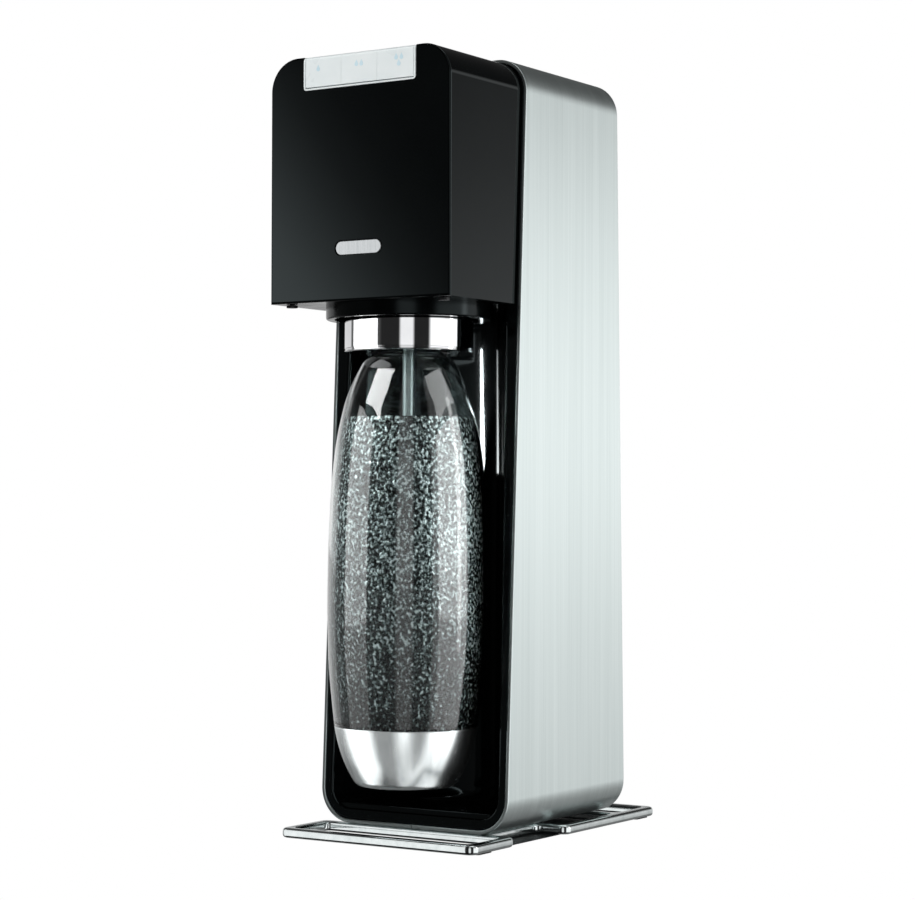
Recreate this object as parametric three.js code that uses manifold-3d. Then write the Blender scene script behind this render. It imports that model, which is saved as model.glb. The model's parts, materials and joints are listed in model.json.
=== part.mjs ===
// Soda carbonator: a free-standing tower that carbonates water in a screw-less, tilting bottle holder.
// Frame: millimetres, +Z up, -Y is the front. Origin: centre of the footprint, on the surface it stands on.
import * as THREE from 'three';
import { mergeVertices } from 'three/addons/utils/BufferGeometryUtils.js';
import Module from 'manifold-3d';

const wasm = await Module();
wasm.setup();

// ------------------------------------------------------------------ driving dimensions
const GAP = 0.3;                 // clearance between pieces that touch
// base frame
const BASE_HALF_W = 64, BASE_Z0 = 0.4, BASE_Z1 = 5.8, BASE_BAR = 6.5;
const BASE_FRONT = -90.1, BASE_REAR = 110.5, WAIST_Y0 = -46.7, WAIST_Y1 = 6, WAIST_HALF = 45;
const CROSS_REAR_Y0 = 66.5, CROSS_REAR_Y1 = 73, FOOT_X = 60.75, FOOT_Y0 = -76, FOOT_Y1 = 96;
// tower
const TOWER_Z0 = 6.1, TOWER_Z1 = 430, TOWER_HALF_W = 62, TOWER_R = 19.5, WRAP_T = 2.0;
const FRONT_Y0 = -53.5, FRONT_Y1 = -34, REAR_Y0 = 75.5, REAR_Y1 = 66;   // sloping front and rear planes, at TOWER_Z0 and TOWER_Z1
const LINER_HALF = 59.7, LINER_Z0 = 8.4, LINER_Z1 = 427.7, LINER_R = 17.2, LINER_T = 2.0, LINER_BACK = 4;
const NICHE_R = 55.5, NICHE_Y = -60, NICHE_FLOOR = 13.7, NICHE_TOP = 297.5, NICHE_CORNER = 12;
// head
const HEAD_HALF = 59, HEAD_FRONT = -106, HEAD_Z0 = 294, HEAD_Z1 = 428, HEAD_R = 17.5, HEAD_T = 2.5;
const PANEL_HALF = 37, PANEL_Z0 = 409.5, PANEL_Y1 = -84;
const SKIRT_R = 46, SKIRT_HOLE = 39, SKIRT_STRETCH = 4, SKIRT_Z0 = 286;
// bottle holder and bottle: one straight axis through the tilt pivot
const PIVOT_Y = -57, PIVOT_Z = 300, LEAN_DEG = 0.5, BOTTLE_LEN = 264, BOTTLE_DROP0 = 272;
const RING_R = 35.5, RING_LOW = -32, RING_HIGH = -14;
const TUBE_R = 3.4, TUBE_TIP = -87;
// gas cylinder
const CYL_Y = 31, CYL_R = 30, CYL_Z0 = 30;
// actuator
const LEVER_Y = 13, LEVER_Z = 402, SECTOR_R = 42, PINION_R = 7.5, MODULE_MM = 1.5;
const PINION_Y = LEVER_Y - SECTOR_R - PINION_R;

// ------------------------------------------------------------------ helpers
function solid(geometry) {
  let g = geometry.clone();
  g.deleteAttribute('normal');
  if (g.attributes.uv) g.deleteAttribute('uv');
  g = mergeVertices(g, 1e-4);
  const p = g.attributes.position.array;
  let t = Array.from(g.index.array);
  const keep = [];
  for (let i = 0; i < t.length; i += 3) {
    if (t[i] !== t[i + 1] && t[i + 1] !== t[i + 2] && t[i] !== t[i + 2]) keep.push(t[i], t[i + 1], t[i + 2]);
  }
  t = keep;
  let v = 0;
  for (let i = 0; i < t.length; i += 3) {
    const a = t[i] * 3, b = t[i + 1] * 3, c = t[i + 2] * 3;
    v += p[a] * (p[b + 1] * p[c + 2] - p[b + 2] * p[c + 1])
       - p[a + 1] * (p[b] * p[c + 2] - p[b + 2] * p[c])
       + p[a + 2] * (p[b] * p[c + 1] - p[b + 1] * p[c]);
  }
  if (v < 0) for (let i = 0; i < t.length; i += 3) { const k = t[i]; t[i] = t[i + 1]; t[i + 1] = k; }
  return new wasm.Manifold(new wasm.Mesh({ numProp: 3, vertProperties: new Float32Array(p), triVerts: new Uint32Array(t) }));
}
function geometryOf(manifold) {
  const m = manifold.getMesh();
  const g = new THREE.BufferGeometry();
  g.setAttribute('position', new THREE.BufferAttribute(new Float32Array(m.vertProperties), 3));
  g.setIndex(new THREE.BufferAttribute(new Uint32Array(m.triVerts), 1));
  g.computeVertexNormals();
  return g;
}
const join = (...s) => s.reduce((a, b) => a.add(b));
const cut = (a, ...s) => s.reduce((x, b) => x.subtract(b), a);

function block(x0, x1, y0, y1, z0, z1) {
  const g = new THREE.BoxGeometry(x1 - x0, y1 - y0, z1 - z0);
  g.translate((x0 + x1) / 2, (y0 + y1) / 2, (z0 + z1) / 2);
  return solid(g);
}
// round bar: axis 'x', 'y' or 'z', from a to b along it, centred on the two other coordinates
function rod(axis, a, b, c1, c2, r, n = 24, r2 = r) {
  const g = new THREE.CylinderGeometry(r2, r, b - a, n);
  if (axis === 'z') { g.rotateX(Math.PI / 2); g.translate(c1, c2, (a + b) / 2); }
  if (axis === 'x') { g.rotateZ(-Math.PI / 2); g.translate((a + b) / 2, c1, c2); }
  if (axis === 'y') { g.translate(c1, (a + b) / 2, c2); }
  return solid(g);
}
// turned piece: profile of [radius, z] pairs, revolved about Z at (x, y)
function turned(profile, n = 32, x = 0, y = 0, z = 0) {
  const g = new THREE.LatheGeometry(profile.map(([r, h]) => new THREE.Vector2(r, h)), n);
  g.rotateX(Math.PI / 2);
  g.translate(x, y, z);
  return solid(g);
}
// outline with rounded corners: [x, y, radius] list
function outline(pts, seg = 6) {
  const s = new THREE.Shape();
  const n = pts.length;
  const out = [];
  for (let i = 0; i < n; i++) {
    const [px, py, r] = pts[i];
    const a = pts[(i + n - 1) % n], b = pts[(i + 1) % n];
    if (!r) { out.push([px, py]); continue; }
    const u = new THREE.Vector2(a[0] - px, a[1] - py).normalize();
    const w = new THREE.Vector2(b[0] - px, b[1] - py).normalize();
    const half = Math.acos(THREE.MathUtils.clamp(u.dot(w), -1, 1)) / 2;
    const d = r / Math.tan(half);
    const c = new THREE.Vector2().addVectors(u, w).normalize().multiplyScalar(r / Math.sin(half));
    const cx = px + c.x, cy = py + c.y;
    const a0 = Math.atan2(py + u.y * d - cy, px + u.x * d - cx);
    let a1 = Math.atan2(py + w.y * d - cy, px + w.x * d - cx);
    let da = a1 - a0;
    while (da > Math.PI) da -= 2 * Math.PI;
    while (da < -Math.PI) da += 2 * Math.PI;
    for (let k = 0; k <= seg; k++) out.push([cx + r * Math.cos(a0 + da * k / seg), cy + r * Math.sin(a0 + da * k / seg)]);
  }
  out.forEach(([x, y], i) => (i ? s.lineTo(x, y) : s.moveTo(x, y)));
  s.closePath();
  return s;
}
const extrude = (shape, d) => new THREE.ExtrudeGeometry(shape, { depth: d, bevelEnabled: false, curveSegments: 1 });
// prism standing on an XY outline
function prismZ(shape, z0, z1) { const g = extrude(shape, z1 - z0); g.translate(0, 0, z0); return solid(g); }
// prism along Y from an XZ outline
function prismY(shape, y0, y1) {
  const g = extrude(shape, y1 - y0);
  g.applyMatrix4(new THREE.Matrix4().set(1, 0, 0, 0, 0, 0, -1, y1, 0, 1, 0, 0, 0, 0, 0, 1));
  return solid(g);
}
// prism along X from a YZ outline
function prismX(shape, x0, x1) {
  const g = extrude(shape, x1 - x0);
  g.applyMatrix4(new THREE.Matrix4().set(0, 0, 1, x0, 1, 0, 0, 0, 0, 1, 0, 0, 0, 0, 0, 1));
  return solid(g);
}
const rect = (x0, x1, y0, y1, r = 0, seg = 6) => outline([[x0, y0, r], [x1, y0, r], [x1, y1, r], [x0, y1, r]], seg);

// sloping side profile of the tower between two offsets from its front and rear planes
const frontAt = (z) => FRONT_Y0 + (FRONT_Y1 - FRONT_Y0) * (z - TOWER_Z0) / (TOWER_Z1 - TOWER_Z0);
const rearAt = (z) => REAR_Y0 + (REAR_Y1 - REAR_Y0) * (z - TOWER_Z0) / (TOWER_Z1 - TOWER_Z0);
function slab(frontOffset, rear, z0 = -5, z1 = 440, halfW = 80) {
  const rz = (z) => (typeof rear === 'number' ? rear : rear.plane(z) + rear.off);
  return prismX(outline([[frontAt(z0) + frontOffset, z0], [rz(z0), z0], [rz(z1), z1], [frontAt(z1) + frontOffset, z1]]), -halfW, halfW);
}
function rearSlab(off0, off1, z0 = -5, z1 = 440) {
  return prismX(outline([[rearAt(z0) + off0, z0], [rearAt(z0) + off1, z0], [rearAt(z1) + off1, z1], [rearAt(z1) + off0, z1]]), -80, 80);
}

// ------------------------------------------------------------------ scene graph
const model = new THREE.Group();
model.name = 'soda_carbonator';
const holder = new THREE.Group();           // everything that leans with the bottle axis
holder.position.set(0, PIVOT_Y, PIVOT_Z);
holder.rotation.x = -THREE.MathUtils.degToRad(LEAN_DEG);
model.add(holder);
const M = {
  steel: { color: 0xc9cdd0, roughness: 0.25, metalness: 1 },
  brushed: { color: 0xd2d6d6, roughness: 0.35, metalness: 1 },
  chrome: { color: 0xe8e8ea, roughness: 0.06, metalness: 1 },
  black: { color: 0x0b0c0d, roughness: 0.18, metalness: 0 },
  satin: { color: 0x121416, roughness: 0.4, metalness: 0 },
  pearl: { color: 0xd9dfde, roughness: 0.25, metalness: 0.2 },
  silver: { color: 0xd5d7d8, roughness: 0.3, metalness: 0.9 },
  clear: { color: 0xeaf4f4, roughness: 0.03, metalness: 0, transparent: true, opacity: 0.3 },
  water: { color: 0xcfe0e0, roughness: 0.05, metalness: 0, transparent: true, opacity: 0.45 },
  brass: { color: 0xb8964a, roughness: 0.3, metalness: 1 },
  zinc: { color: 0x9a9ea2, roughness: 0.45, metalness: 1 },
  bluegrey: { color: 0x6f7a86, roughness: 0.4, metalness: 0.3 },
  rubber: { color: 0x1a1a1a, roughness: 0.8, metalness: 0 },
  green: { color: 0x1e5b35, roughness: 0.5, metalness: 0 },
  nylon: { color: 0xe6e2d6, roughness: 0.5, metalness: 0 },
};
function add(name, shape, look, parent = model) {
  const mesh = new THREE.Mesh(shape.isBufferGeometry ? shape : geometryOf(shape), new THREE.MeshStandardMaterial(M[look]));
  mesh.name = name;
  parent.add(mesh);
  return mesh;
}

// ------------------------------------------------------------------ base
{
  const o = outline([
    [-BASE_HALF_W, BASE_FRONT, 5.5], [BASE_HALF_W, BASE_FRONT, 5.5], [BASE_HALF_W, WAIST_Y0, 5.5], [WAIST_HALF, WAIST_Y0, 4],
    [WAIST_HALF, WAIST_Y1, 4], [BASE_HALF_W, WAIST_Y1, 5.5], [BASE_HALF_W, BASE_REAR, 5.5], [-BASE_HALF_W, BASE_REAR, 5.5],
    [-BASE_HALF_W, WAIST_Y1, 5.5], [-WAIST_HALF, WAIST_Y1, 4], [-WAIST_HALF, WAIST_Y0, 4], [-BASE_HALF_W, WAIST_Y0, 5.5],
  ], 3);
  const inner = BASE_HALF_W - BASE_BAR;
  const holes = [
    rect(-inner, inner, BASE_FRONT + BASE_BAR, WAIST_Y0 - BASE_BAR, 2.5, 2),
    rect(-WAIST_HALF + BASE_BAR, WAIST_HALF - BASE_BAR, WAIST_Y0, WAIST_Y1, 2.5, 2),
    rect(-inner, inner, WAIST_Y1 + BASE_BAR, CROSS_REAR_Y0, 2.5, 2),
    rect(-inner, inner, CROSS_REAR_Y1, BASE_REAR - BASE_BAR, 2.5, 2),
  ];
  let s = prismZ(o, BASE_Z0, BASE_Z1);
  for (const h of holes) s = s.subtract(prismZ(h, 0, 8));
  const feet = [[-FOOT_X, FOOT_Y0], [FOOT_X, FOOT_Y0], [-FOOT_X, FOOT_Y1], [FOOT_X, FOOT_Y1]];
  const strip = (x, y, hx, hy, z0, z1, r) => prismZ(rect(x - hx, x + hx, y - hy, y + hy, r, 3), z0, z1);
  for (const [x, y] of feet) s = cut(s, strip(x, y, 2.45, 7.35, 0, 1.4, 2.2), strip(x, y, 1.35, 3.4, 0, 3.9, 0.8));
  const screws = [[-38, WAIST_Y0 - BASE_BAR / 2], [38, WAIST_Y0 - BASE_BAR / 2], [-38, WAIST_Y1 + BASE_BAR / 2], [38, WAIST_Y1 + BASE_BAR / 2]];
  for (const [x, y] of screws) s = cut(s, rod('z', 0, 8, x, y, 1.5, 8), rod('z', 0, 2.2, x, y, 2.6, 8));
  add('base_frame', s, 'steel');
  feet.forEach(([x, y], i) => add(`rubber_foot_${i + 1}`, join(strip(x, y, 2.1, 7.0, 0, 1.1, 2.0), strip(x, y, 1.0, 3.0, 1.0, 3.6, 0.6)), 'rubber'));
  screws.forEach(([x, y], i) => add(`base_screw_${i + 1}`, join(rod('z', 0.8, 2.0, x, y, 2.3, 8), rod('z', 1.8, 5.7, x, y, 1.1, 8)), 'zinc'));
}

// ------------------------------------------------------------------ tower shell
const tall = (halfW, z0, z1, r, seg = 8) => rect(-halfW, halfW, z0, z1, r, seg);
{
  // one bent sheet, its joint a narrow slot at the middle of the underside
  const whole = prismY(tall(TOWER_HALF_W, TOWER_Z0, TOWER_Z1, TOWER_R), -60, 90);
  const hollow = prismY(tall(TOWER_HALF_W - WRAP_T, TOWER_Z0 + WRAP_T, TOWER_Z1 - WRAP_T, TOWER_R - WRAP_T), -70, 100);
  let s = whole.subtract(hollow).intersect(slab(0, { plane: rearAt, off: 0 }));
  s = s.subtract(block(-0.25, 0.25, -70, 100, 0, TOWER_Z0 + WRAP_T + 1));
  add('outer_wrap', s, 'brushed');
}
{
  // front liner: rim plate, skirt, round niche with a floor, and a window into the head
  const body = prismY(tall(LINER_HALF, LINER_Z0, LINER_Z1, LINER_R), -60, LINER_BACK).intersect(slab(0.6, LINER_BACK));
  const inside = prismY(tall(LINER_HALF - LINER_T, LINER_Z0 + LINER_T, LINER_Z1 - LINER_T, LINER_R - LINER_T), -58, LINER_BACK + 5)
    .intersect(slab(0.6 + LINER_T, LINER_BACK + 5));
  let s = body.subtract(inside);
  const tub = rod('z', NICHE_FLOOR - LINER_T, NICHE_TOP, 0, NICHE_Y, NICHE_R + LINER_T, 56)
    .intersect(prismY(rect(-NICHE_R - LINER_T, NICHE_R + LINER_T, NICHE_FLOOR - LINER_T, NICHE_TOP + 30, NICHE_CORNER + LINER_T, 6), -70, 40))
    .intersect(body);
  s = s.add(tub);
  const niche = rod('z', NICHE_FLOOR, NICHE_TOP + 5, 0, NICHE_Y, NICHE_R, 56)
    .intersect(prismY(rect(-NICHE_R, NICHE_R, NICHE_FLOOR, NICHE_TOP + 30, NICHE_CORNER, 6), -130, 40));
  s = cut(s, niche, prismY(rect(-52, 52, 300, 419, 6, 3), -70, -20));
  s = s.subtract(block(-52, 52, -70, -20, 294, 301));
  add('front_liner', s, 'black');
}
{
  // rear cover: plate with a shallow skirt, finger slot and the power inlet hole
  const skirt = prismY(tall(LINER_HALF, LINER_Z0, LINER_Z1, LINER_R), 40, 90).intersect(rearSlab(-11, -0.6));
  const inner = prismY(tall(LINER_HALF - LINER_T, LINER_Z0 + LINER_T, LINER_Z1 - LINER_T, LINER_R - LINER_T), 40, 90).intersect(rearSlab(-20, -3.1));
  let s = skirt.subtract(inner);
  s = cut(s, prismY(rect(-16, 16, 401, 409, 3.9, 5), 40, 90), prismY(rect(-30.5, -17.5, 18.5, 31.5), 40, 90));
  for (let i = 0; i < 6; i++) s = s.subtract(prismY(rect(-24, 24, 352 + i * 7, 354.6 + i * 7), 40, 90));
  add('rear_cover', s, 'satin');
}
{
  // load-bearing chassis: floor, two cheeks and the shelf that carries valve, lever and motor
  let s = join(block(-46, 46, 6, 60, 8.7, 11.7), block(-46, -43, 6, 60, 10, 386), block(43, 46, 6, 60, 10, 386), block(-46, 46, -64, 60, 385, 388));
  s = cut(s, rod('z', 380, 392, 0, CYL_Y, 4.2, 20), rod('z', 380, 392, -38, 12, 4, 16));
  for (const x of [-47, 47]) for (const z of [70, 150, 230, 310]) s = s.subtract(rod('x', x - 5, x + 5, CYL_Y + 2, z, 14, 10));
  add('chassis', s, 'zinc');
}
{
  // ribbed drip tray on the niche floor
  const disc = rod('z', NICHE_FLOOR + GAP, 15.4, 0, NICHE_Y, NICHE_R - 0.6, 40).intersect(block(-53.6, 53.6, -50.6, 0, 10, 30));
  const rim = rod('z', NICHE_FLOOR + GAP, 17, 0, NICHE_Y, NICHE_R - 0.6, 40).intersect(block(-53.6, 53.6, -50.6, 0, 10, 30));
  const cutIn = rod('z', 10, 30, 0, NICHE_Y, NICHE_R - 2.4, 40).intersect(block(-51.8, 51.8, -48.8, 2, 10, 30));
  let s = join(disc, rim.subtract(cutIn));
  for (let x = -42; x <= 42.1; x += 7) {
    const yEnd = NICHE_Y + Math.sqrt((NICHE_R - 2) ** 2 - x * x);
    s = s.add(block(x - 0.9, x + 0.9, -49.5, yEnd, 15, 16.8));
  }
  // its two lower corners follow the rounded corners of the niche
  s = s.intersect(prismY(rect(-NICHE_R + 0.3, NICHE_R - 0.3, NICHE_FLOOR + GAP, 60, NICHE_CORNER - 0.3, 6), -100, 20));
  add('drip_tray', s, 'satin');
}

// ------------------------------------------------------------------ gas cylinder and valve
{
  const r = CYL_R, t = 3;
  add('gas_cylinder', turned([
    [0, CYL_Z0 + 4], [12, CYL_Z0 + 1], [20, CYL_Z0], [r - 4, CYL_Z0], [r, CYL_Z0 + 4], [r, 292], [28.6, 301], [25, 309], [19, 316], [13, 322], [13, 338],
    [8, 338], [8, 318], [19, 307.5], [24.5, 300], [r - t, 289], [r - t, CYL_Z0 + 8], [0, CYL_Z0 + 8],
  ], 20, 0, CYL_Y), 'bluegrey');
  add('cylinder_valve', turned([
    [0, 320], [7.7, 320], [7.7, 338.3], [13, 338.3], [13, 342], [10.5, 343], [10.5, 361.5], [9.7, 362.3], [2.9, 362.3], [2.9, 345], [0, 345],
  ], 16, 0, CYL_Y), 'brass');
  add('valve_pin', rod('z', 348, 366.6, 0, CYL_Y, 2.5, 14), 'steel');
  add('cylinder_seal', turned([[4, 362.7], [9.4, 362.7], [9.4, 364.6], [4, 364.6], [4, 362.7]], 20, 0, CYL_Y), 'rubber');
  let socket = prismZ(rect(-22, 22, CYL_Y - 22, CYL_Y + 22, 5, 4), 345, 384.7);
  socket = cut(socket, rod('z', 330, 365, 0, CYL_Y, 10.9, 24), rod('z', 360, 390, 0, CYL_Y, 3.5, 16), rod('y', 5, 20, 0, 374, 2.4, 14), rod('y', 5, 30, 0, 374, 1.2, 10));
  add('valve_socket', socket, 'zinc');
  add('gas_outlet_fitting', cut(join(rod('y', 3.2, 8.7, 0, 374, 4.5, 6), rod('y', 0.8, 19.5, 0, 374, 2.1, 14)), rod('y', 0, 21, 0, 374, 1.0, 8)), 'brass');
  add('plunger', join(rod('z', 367, 393, 0, CYL_Y, 3.2, 16), rod('z', 391.8, 393.8, 0, CYL_Y, 5.5, 16)), 'steel');
  add('relief_valve', turned([[0, 388.3], [6, 388.3], [6, 394], [4.4, 394.6], [4.4, 404], [3, 406], [0, 406]], 16, -30, -12), 'brass');
}

// ------------------------------------------------------------------ actuator: motor, pinion, toothed lever
{
  const pitch = Math.PI * MODULE_MM;
  // trapezoid tooth across radius from root to tip, centred on angle a (YZ plane, about yc, zc)
  function teeth(yc, zc, pitchR, angles, root, tip, wRoot, wTip, x0, x1) {
    return angles.map((a) => {
      const d = new THREE.Vector2(Math.cos(a), Math.sin(a)), n = new THREE.Vector2(-Math.sin(a), Math.cos(a));
      const P = (r, w) => [yc + d.x * r + n.x * w, zc + d.y * r + n.y * w];
      return prismX(outline([P(root, -wRoot / 2), P(tip, -wTip / 2), P(tip, wTip / 2), P(root, wRoot / 2)]), x0, x1);
    });
  }
  const sectorStep = pitch / SECTOR_R;
  const sectorAngles = [-1.5, -0.5, 0.5, 1.5].map((k) => Math.PI + k * sectorStep);
  const arc = [];
  for (let k = -6; k <= 6; k++) {
    const a = Math.PI + k * sectorStep * 2.05 / 6;
    arc.push([LEVER_Y + (SECTOR_R - 1.7) * Math.cos(a), LEVER_Z + (SECTOR_R - 1.7) * Math.sin(a)]);
  }
  const inner = [];
  for (let k = 6; k >= -6; k--) {
    const a = Math.PI + k * sectorStep * 2.05 / 6;
    inner.push([LEVER_Y + (SECTOR_R - 7) * Math.cos(a), LEVER_Z + (SECTOR_R - 7) * Math.sin(a)]);
  }
  const poly = (pts) => outline(pts.map(([a, b]) => [a, b, 0]));
  let lever = join(prismX(poly([...arc, ...inner]), -4, 4), rod('x', -5.5, 5.5, LEVER_Y, LEVER_Z, 6.5, 24),
    prismX(poly([[LEVER_Y - 37, LEVER_Z - 6], [LEVER_Y, LEVER_Z - 5], [LEVER_Y, LEVER_Z + 5], [LEVER_Y - 37, LEVER_Z + 6]]), -4, 4),
    prismX(poly([[LEVER_Y, LEVER_Z - 5.5], [LEVER_Y + 14, LEVER_Z - 6.5], [LEVER_Y + 18, LEVER_Z - 7.9], [LEVER_Y + 21, LEVER_Z - 6.5], [LEVER_Y + 22, LEVER_Z - 2], [LEVER_Y, LEVER_Z + 5]]), -4, 4));
  for (const t of teeth(LEVER_Y, LEVER_Z, SECTOR_R, sectorAngles, SECTOR_R - 3, SECTOR_R + 1.1, 2.5, 1.0, -4, 4)) lever = lever.add(t);
  lever = cut(lever, rod('x', -8, 8, LEVER_Y, LEVER_Z, 2.35, 16), rod('x', -8, 8, LEVER_Y - 20, LEVER_Z, 3.2, 16));
  add('actuator_lever', lever, 'nylon');
  add('lever_pin', rod('x', -9.4, 9.4, LEVER_Y, LEVER_Z, 2.0, 16), 'steel');
  let bracket = join(block(-9, 9, 5, 21, 388.3, 390.3), block(-9, -6.2, 5, 21, 389, 408), block(6.2, 9, 5, 21, 389, 408));
  bracket = bracket.subtract(rod('x', -12, 12, LEVER_Y, LEVER_Z, 2.35, 16));
  add('lever_bracket', bracket, 'zinc');
  let pinion = rod('x', -5, 5, PINION_Y, LEVER_Z, PINION_R - 1.8, 20);
  for (const t of teeth(PINION_Y, LEVER_Z, PINION_R, [...Array(10).keys()].map((k) => k * Math.PI / 5), 4, PINION_R + 1.1, 2.5, 1.0, -5, 5)) pinion = pinion.add(t);
  pinion = pinion.subtract(rod('x', -8, 8, PINION_Y, LEVER_Z, 1.9, 12));
  add('drive_pinion', pinion, 'brass');
  add('motor_shaft', rod('x', -6, 14, PINION_Y, LEVER_Z, 1.6, 12), 'steel');
  let motor = join(rod('x', 8.2, 44, PINION_Y, LEVER_Z, 12, 28), rod('x', 43, 46, PINION_Y, LEVER_Z, 5, 16));
  motor = motor.subtract(rod('x', 0, 16, PINION_Y, LEVER_Z, 1.9, 12));
  add('drive_motor', motor, 'zinc');
  let mb = join(block(5.6, 7.8, -52, -23.5, 388.3, 417), block(5.6, 30, -61, -51.5, 388.3, 390.3), block(5.6, 7.8, -61, -50, 388.3, 404));
  mb = cut(mb, rod('x', 0, 12, PINION_Y, LEVER_Z, 3.2, 16));
  add('motor_bracket', mb, 'zinc');
}

// ------------------------------------------------------------------ head
const headOutline = (half, z0, z1, r) => outline([[-half, z0], [half, z0], [half, z1, r], [-half, z1, r]], 8);
{
  const outer = prismY(headOutline(HEAD_HALF, HEAD_Z0, HEAD_Z1, HEAD_R), HEAD_FRONT, 0).intersect(prismX(outline([
    [HEAD_FRONT, 280], [frontAt(280) + 0.3, 280], [frontAt(440) + 0.3, 440], [HEAD_FRONT, 440]]), -80, 80));
  const inside = prismY(headOutline(HEAD_HALF - HEAD_T, HEAD_Z0 - 5, HEAD_Z1 - HEAD_T, HEAD_R - HEAD_T), HEAD_FRONT + HEAD_T, 10);
  let s = outer.subtract(inside);
  s = s.subtract(block(-PANEL_HALF - GAP, PANEL_HALF + GAP, -120, PANEL_Y1 + GAP, PANEL_Z0 - GAP, 440));
  s = s.subtract(prismY(rect(-15.5, 15.5, 322.5 - 4.25, 322.5 + 4.25, 4.2, 6), -110, HEAD_FRONT + 1.1));
  add('head_housing', s, 'black');
  add('front_badge', prismY(rect(-15, 15, 322.5 - 3.75, 322.5 + 3.75, 3.74, 8), HEAD_FRONT + 0.1, HEAD_FRONT + 0.8), 'silver');
}
{
  // underside plate with the round skirt that surrounds the bottle holder
  const stretched = (r, z0, z1, n = 32) => join(rod('z', z0, z1, 0, PIVOT_Y, r, n), rod('z', z0, z1, 0, PIVOT_Y - SKIRT_STRETCH, r, n), block(-r + 0.01, r - 0.01, PIVOT_Y - SKIRT_STRETCH, PIVOT_Y, z0, z1));
  const plate = join(block(-56.2, 56.2, -103.2, frontAt(294) - 0.5, 294, 296.5), rod('z', 294, 296.5, 0, NICHE_Y, NICHE_R - 0.5, 40).intersect(block(-60, 60, -60, 20, 290, 300)));
  const skirt = rod('z', SKIRT_Z0, 294.5, 0, PIVOT_Y, SKIRT_R, 40);
  let s = join(plate, skirt).subtract(stretched(SKIRT_HOLE, 280, 300));
  for (const x of [-1, 1]) s = s.subtract(block(Math.min(x * 36, x * 43), Math.max(x * 36, x * 43), -68, -46, 294.05, 300));
  const screws = [[-50, -98], [50, -98], [-51, -56], [51, -56]];
  for (const [x, y] of screws) s = s.subtract(rod('z', 280, 300, x, y, 1.9, 10));
  add('head_bottom_cover', s, 'black');
  screws.slice(0, 2).forEach(([x, y], i) => add(`cover_screw_${i + 1}`, join(rod('z', 292.3, 293.7, x, y, 3.1, 12), rod('z', 293, 303, x, y, 1.5, 10)), 'zinc'));
}
// control panel: bezel that wraps over the front top edge, and three keys
const KEY_W = 23.2, KEY_PITCH = 24.4;
const ell = (y0, y1, z0, z1, t, r) => outline([[y0, z0], [y0 + t, z0], [y0 + t, z1 - t], [y1, z1 - t], [y1, z1], [y0, z1, r]], 4);
{
  let s = prismX(ell(HEAD_FRONT + 0.1, PANEL_Y1, PANEL_Z0, HEAD_Z1 - 0.1, 2.4, 2.2), -PANEL_HALF, PANEL_HALF);
  for (const k of [-1, 0, 1]) {
    s = s.subtract(block(k * KEY_PITCH - KEY_W / 2 - 0.3, k * KEY_PITCH + KEY_W / 2 + 0.3, -110, PANEL_Y1 - 1.4, PANEL_Z0 + 1.4, 440));
  }
  add('control_bezel', s, 'pearl');
  ['left', 'middle', 'right'].forEach((n, i) => {
    const c = (i - 1) * KEY_PITCH;
    let key = prismX(ell(HEAD_FRONT + 0.1, PANEL_Y1 - 2.4, PANEL_Z0 + 2.4, HEAD_Z1 - 0.1, 2.0, 2.2), c - KEY_W / 2, c + KEY_W / 2);
    key = key.add(block(c - 3, c + 3, HEAD_FRONT + 1.5, -101.3, 417.5, 420.5));
    add(`button_${n}`, key, 'pearl');
  });
}
{
  // populated control board behind the keys
  let s = block(-38, 38, -98, -96.4, 350, 423);
  for (const k of [-1, 0, 1]) s = s.add(join(block(k * KEY_PITCH - 3, k * KEY_PITCH + 3, -100, -97.5, 416, 422), rod('y', -100.6, -97.5, k * KEY_PITCH, 419, 1.7, 12)));
  s = join(s, block(-30, -14, -97, -88, 360, 372), rod('y', -97, -86, 0, 368, 5, 14), block(12, 26, -97, -93, 380, 394));
  add('control_board', s, 'green');
}
{
  // yoke that carries the tilt pins, hung from the chassis shelf
  let s = join(block(-42, -37, -66, -48, 294.3, 384.7), block(37, 42, -66, -48, 294.3, 384.7), block(-42, 42, -66, -48, 381.5, 384.7));
  s = cut(s, rod('x', -50, 50, PIVOT_Y, PIVOT_Z, 4.35, 16), rod('z', 370, 390, 0, PIVOT_Y, 7, 20));
  for (const z of [330, 356]) s = s.subtract(rod('x', -50, 50, PIVOT_Y, z, 6, 10));
  add('holder_yoke', s, 'zinc');
}

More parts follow.
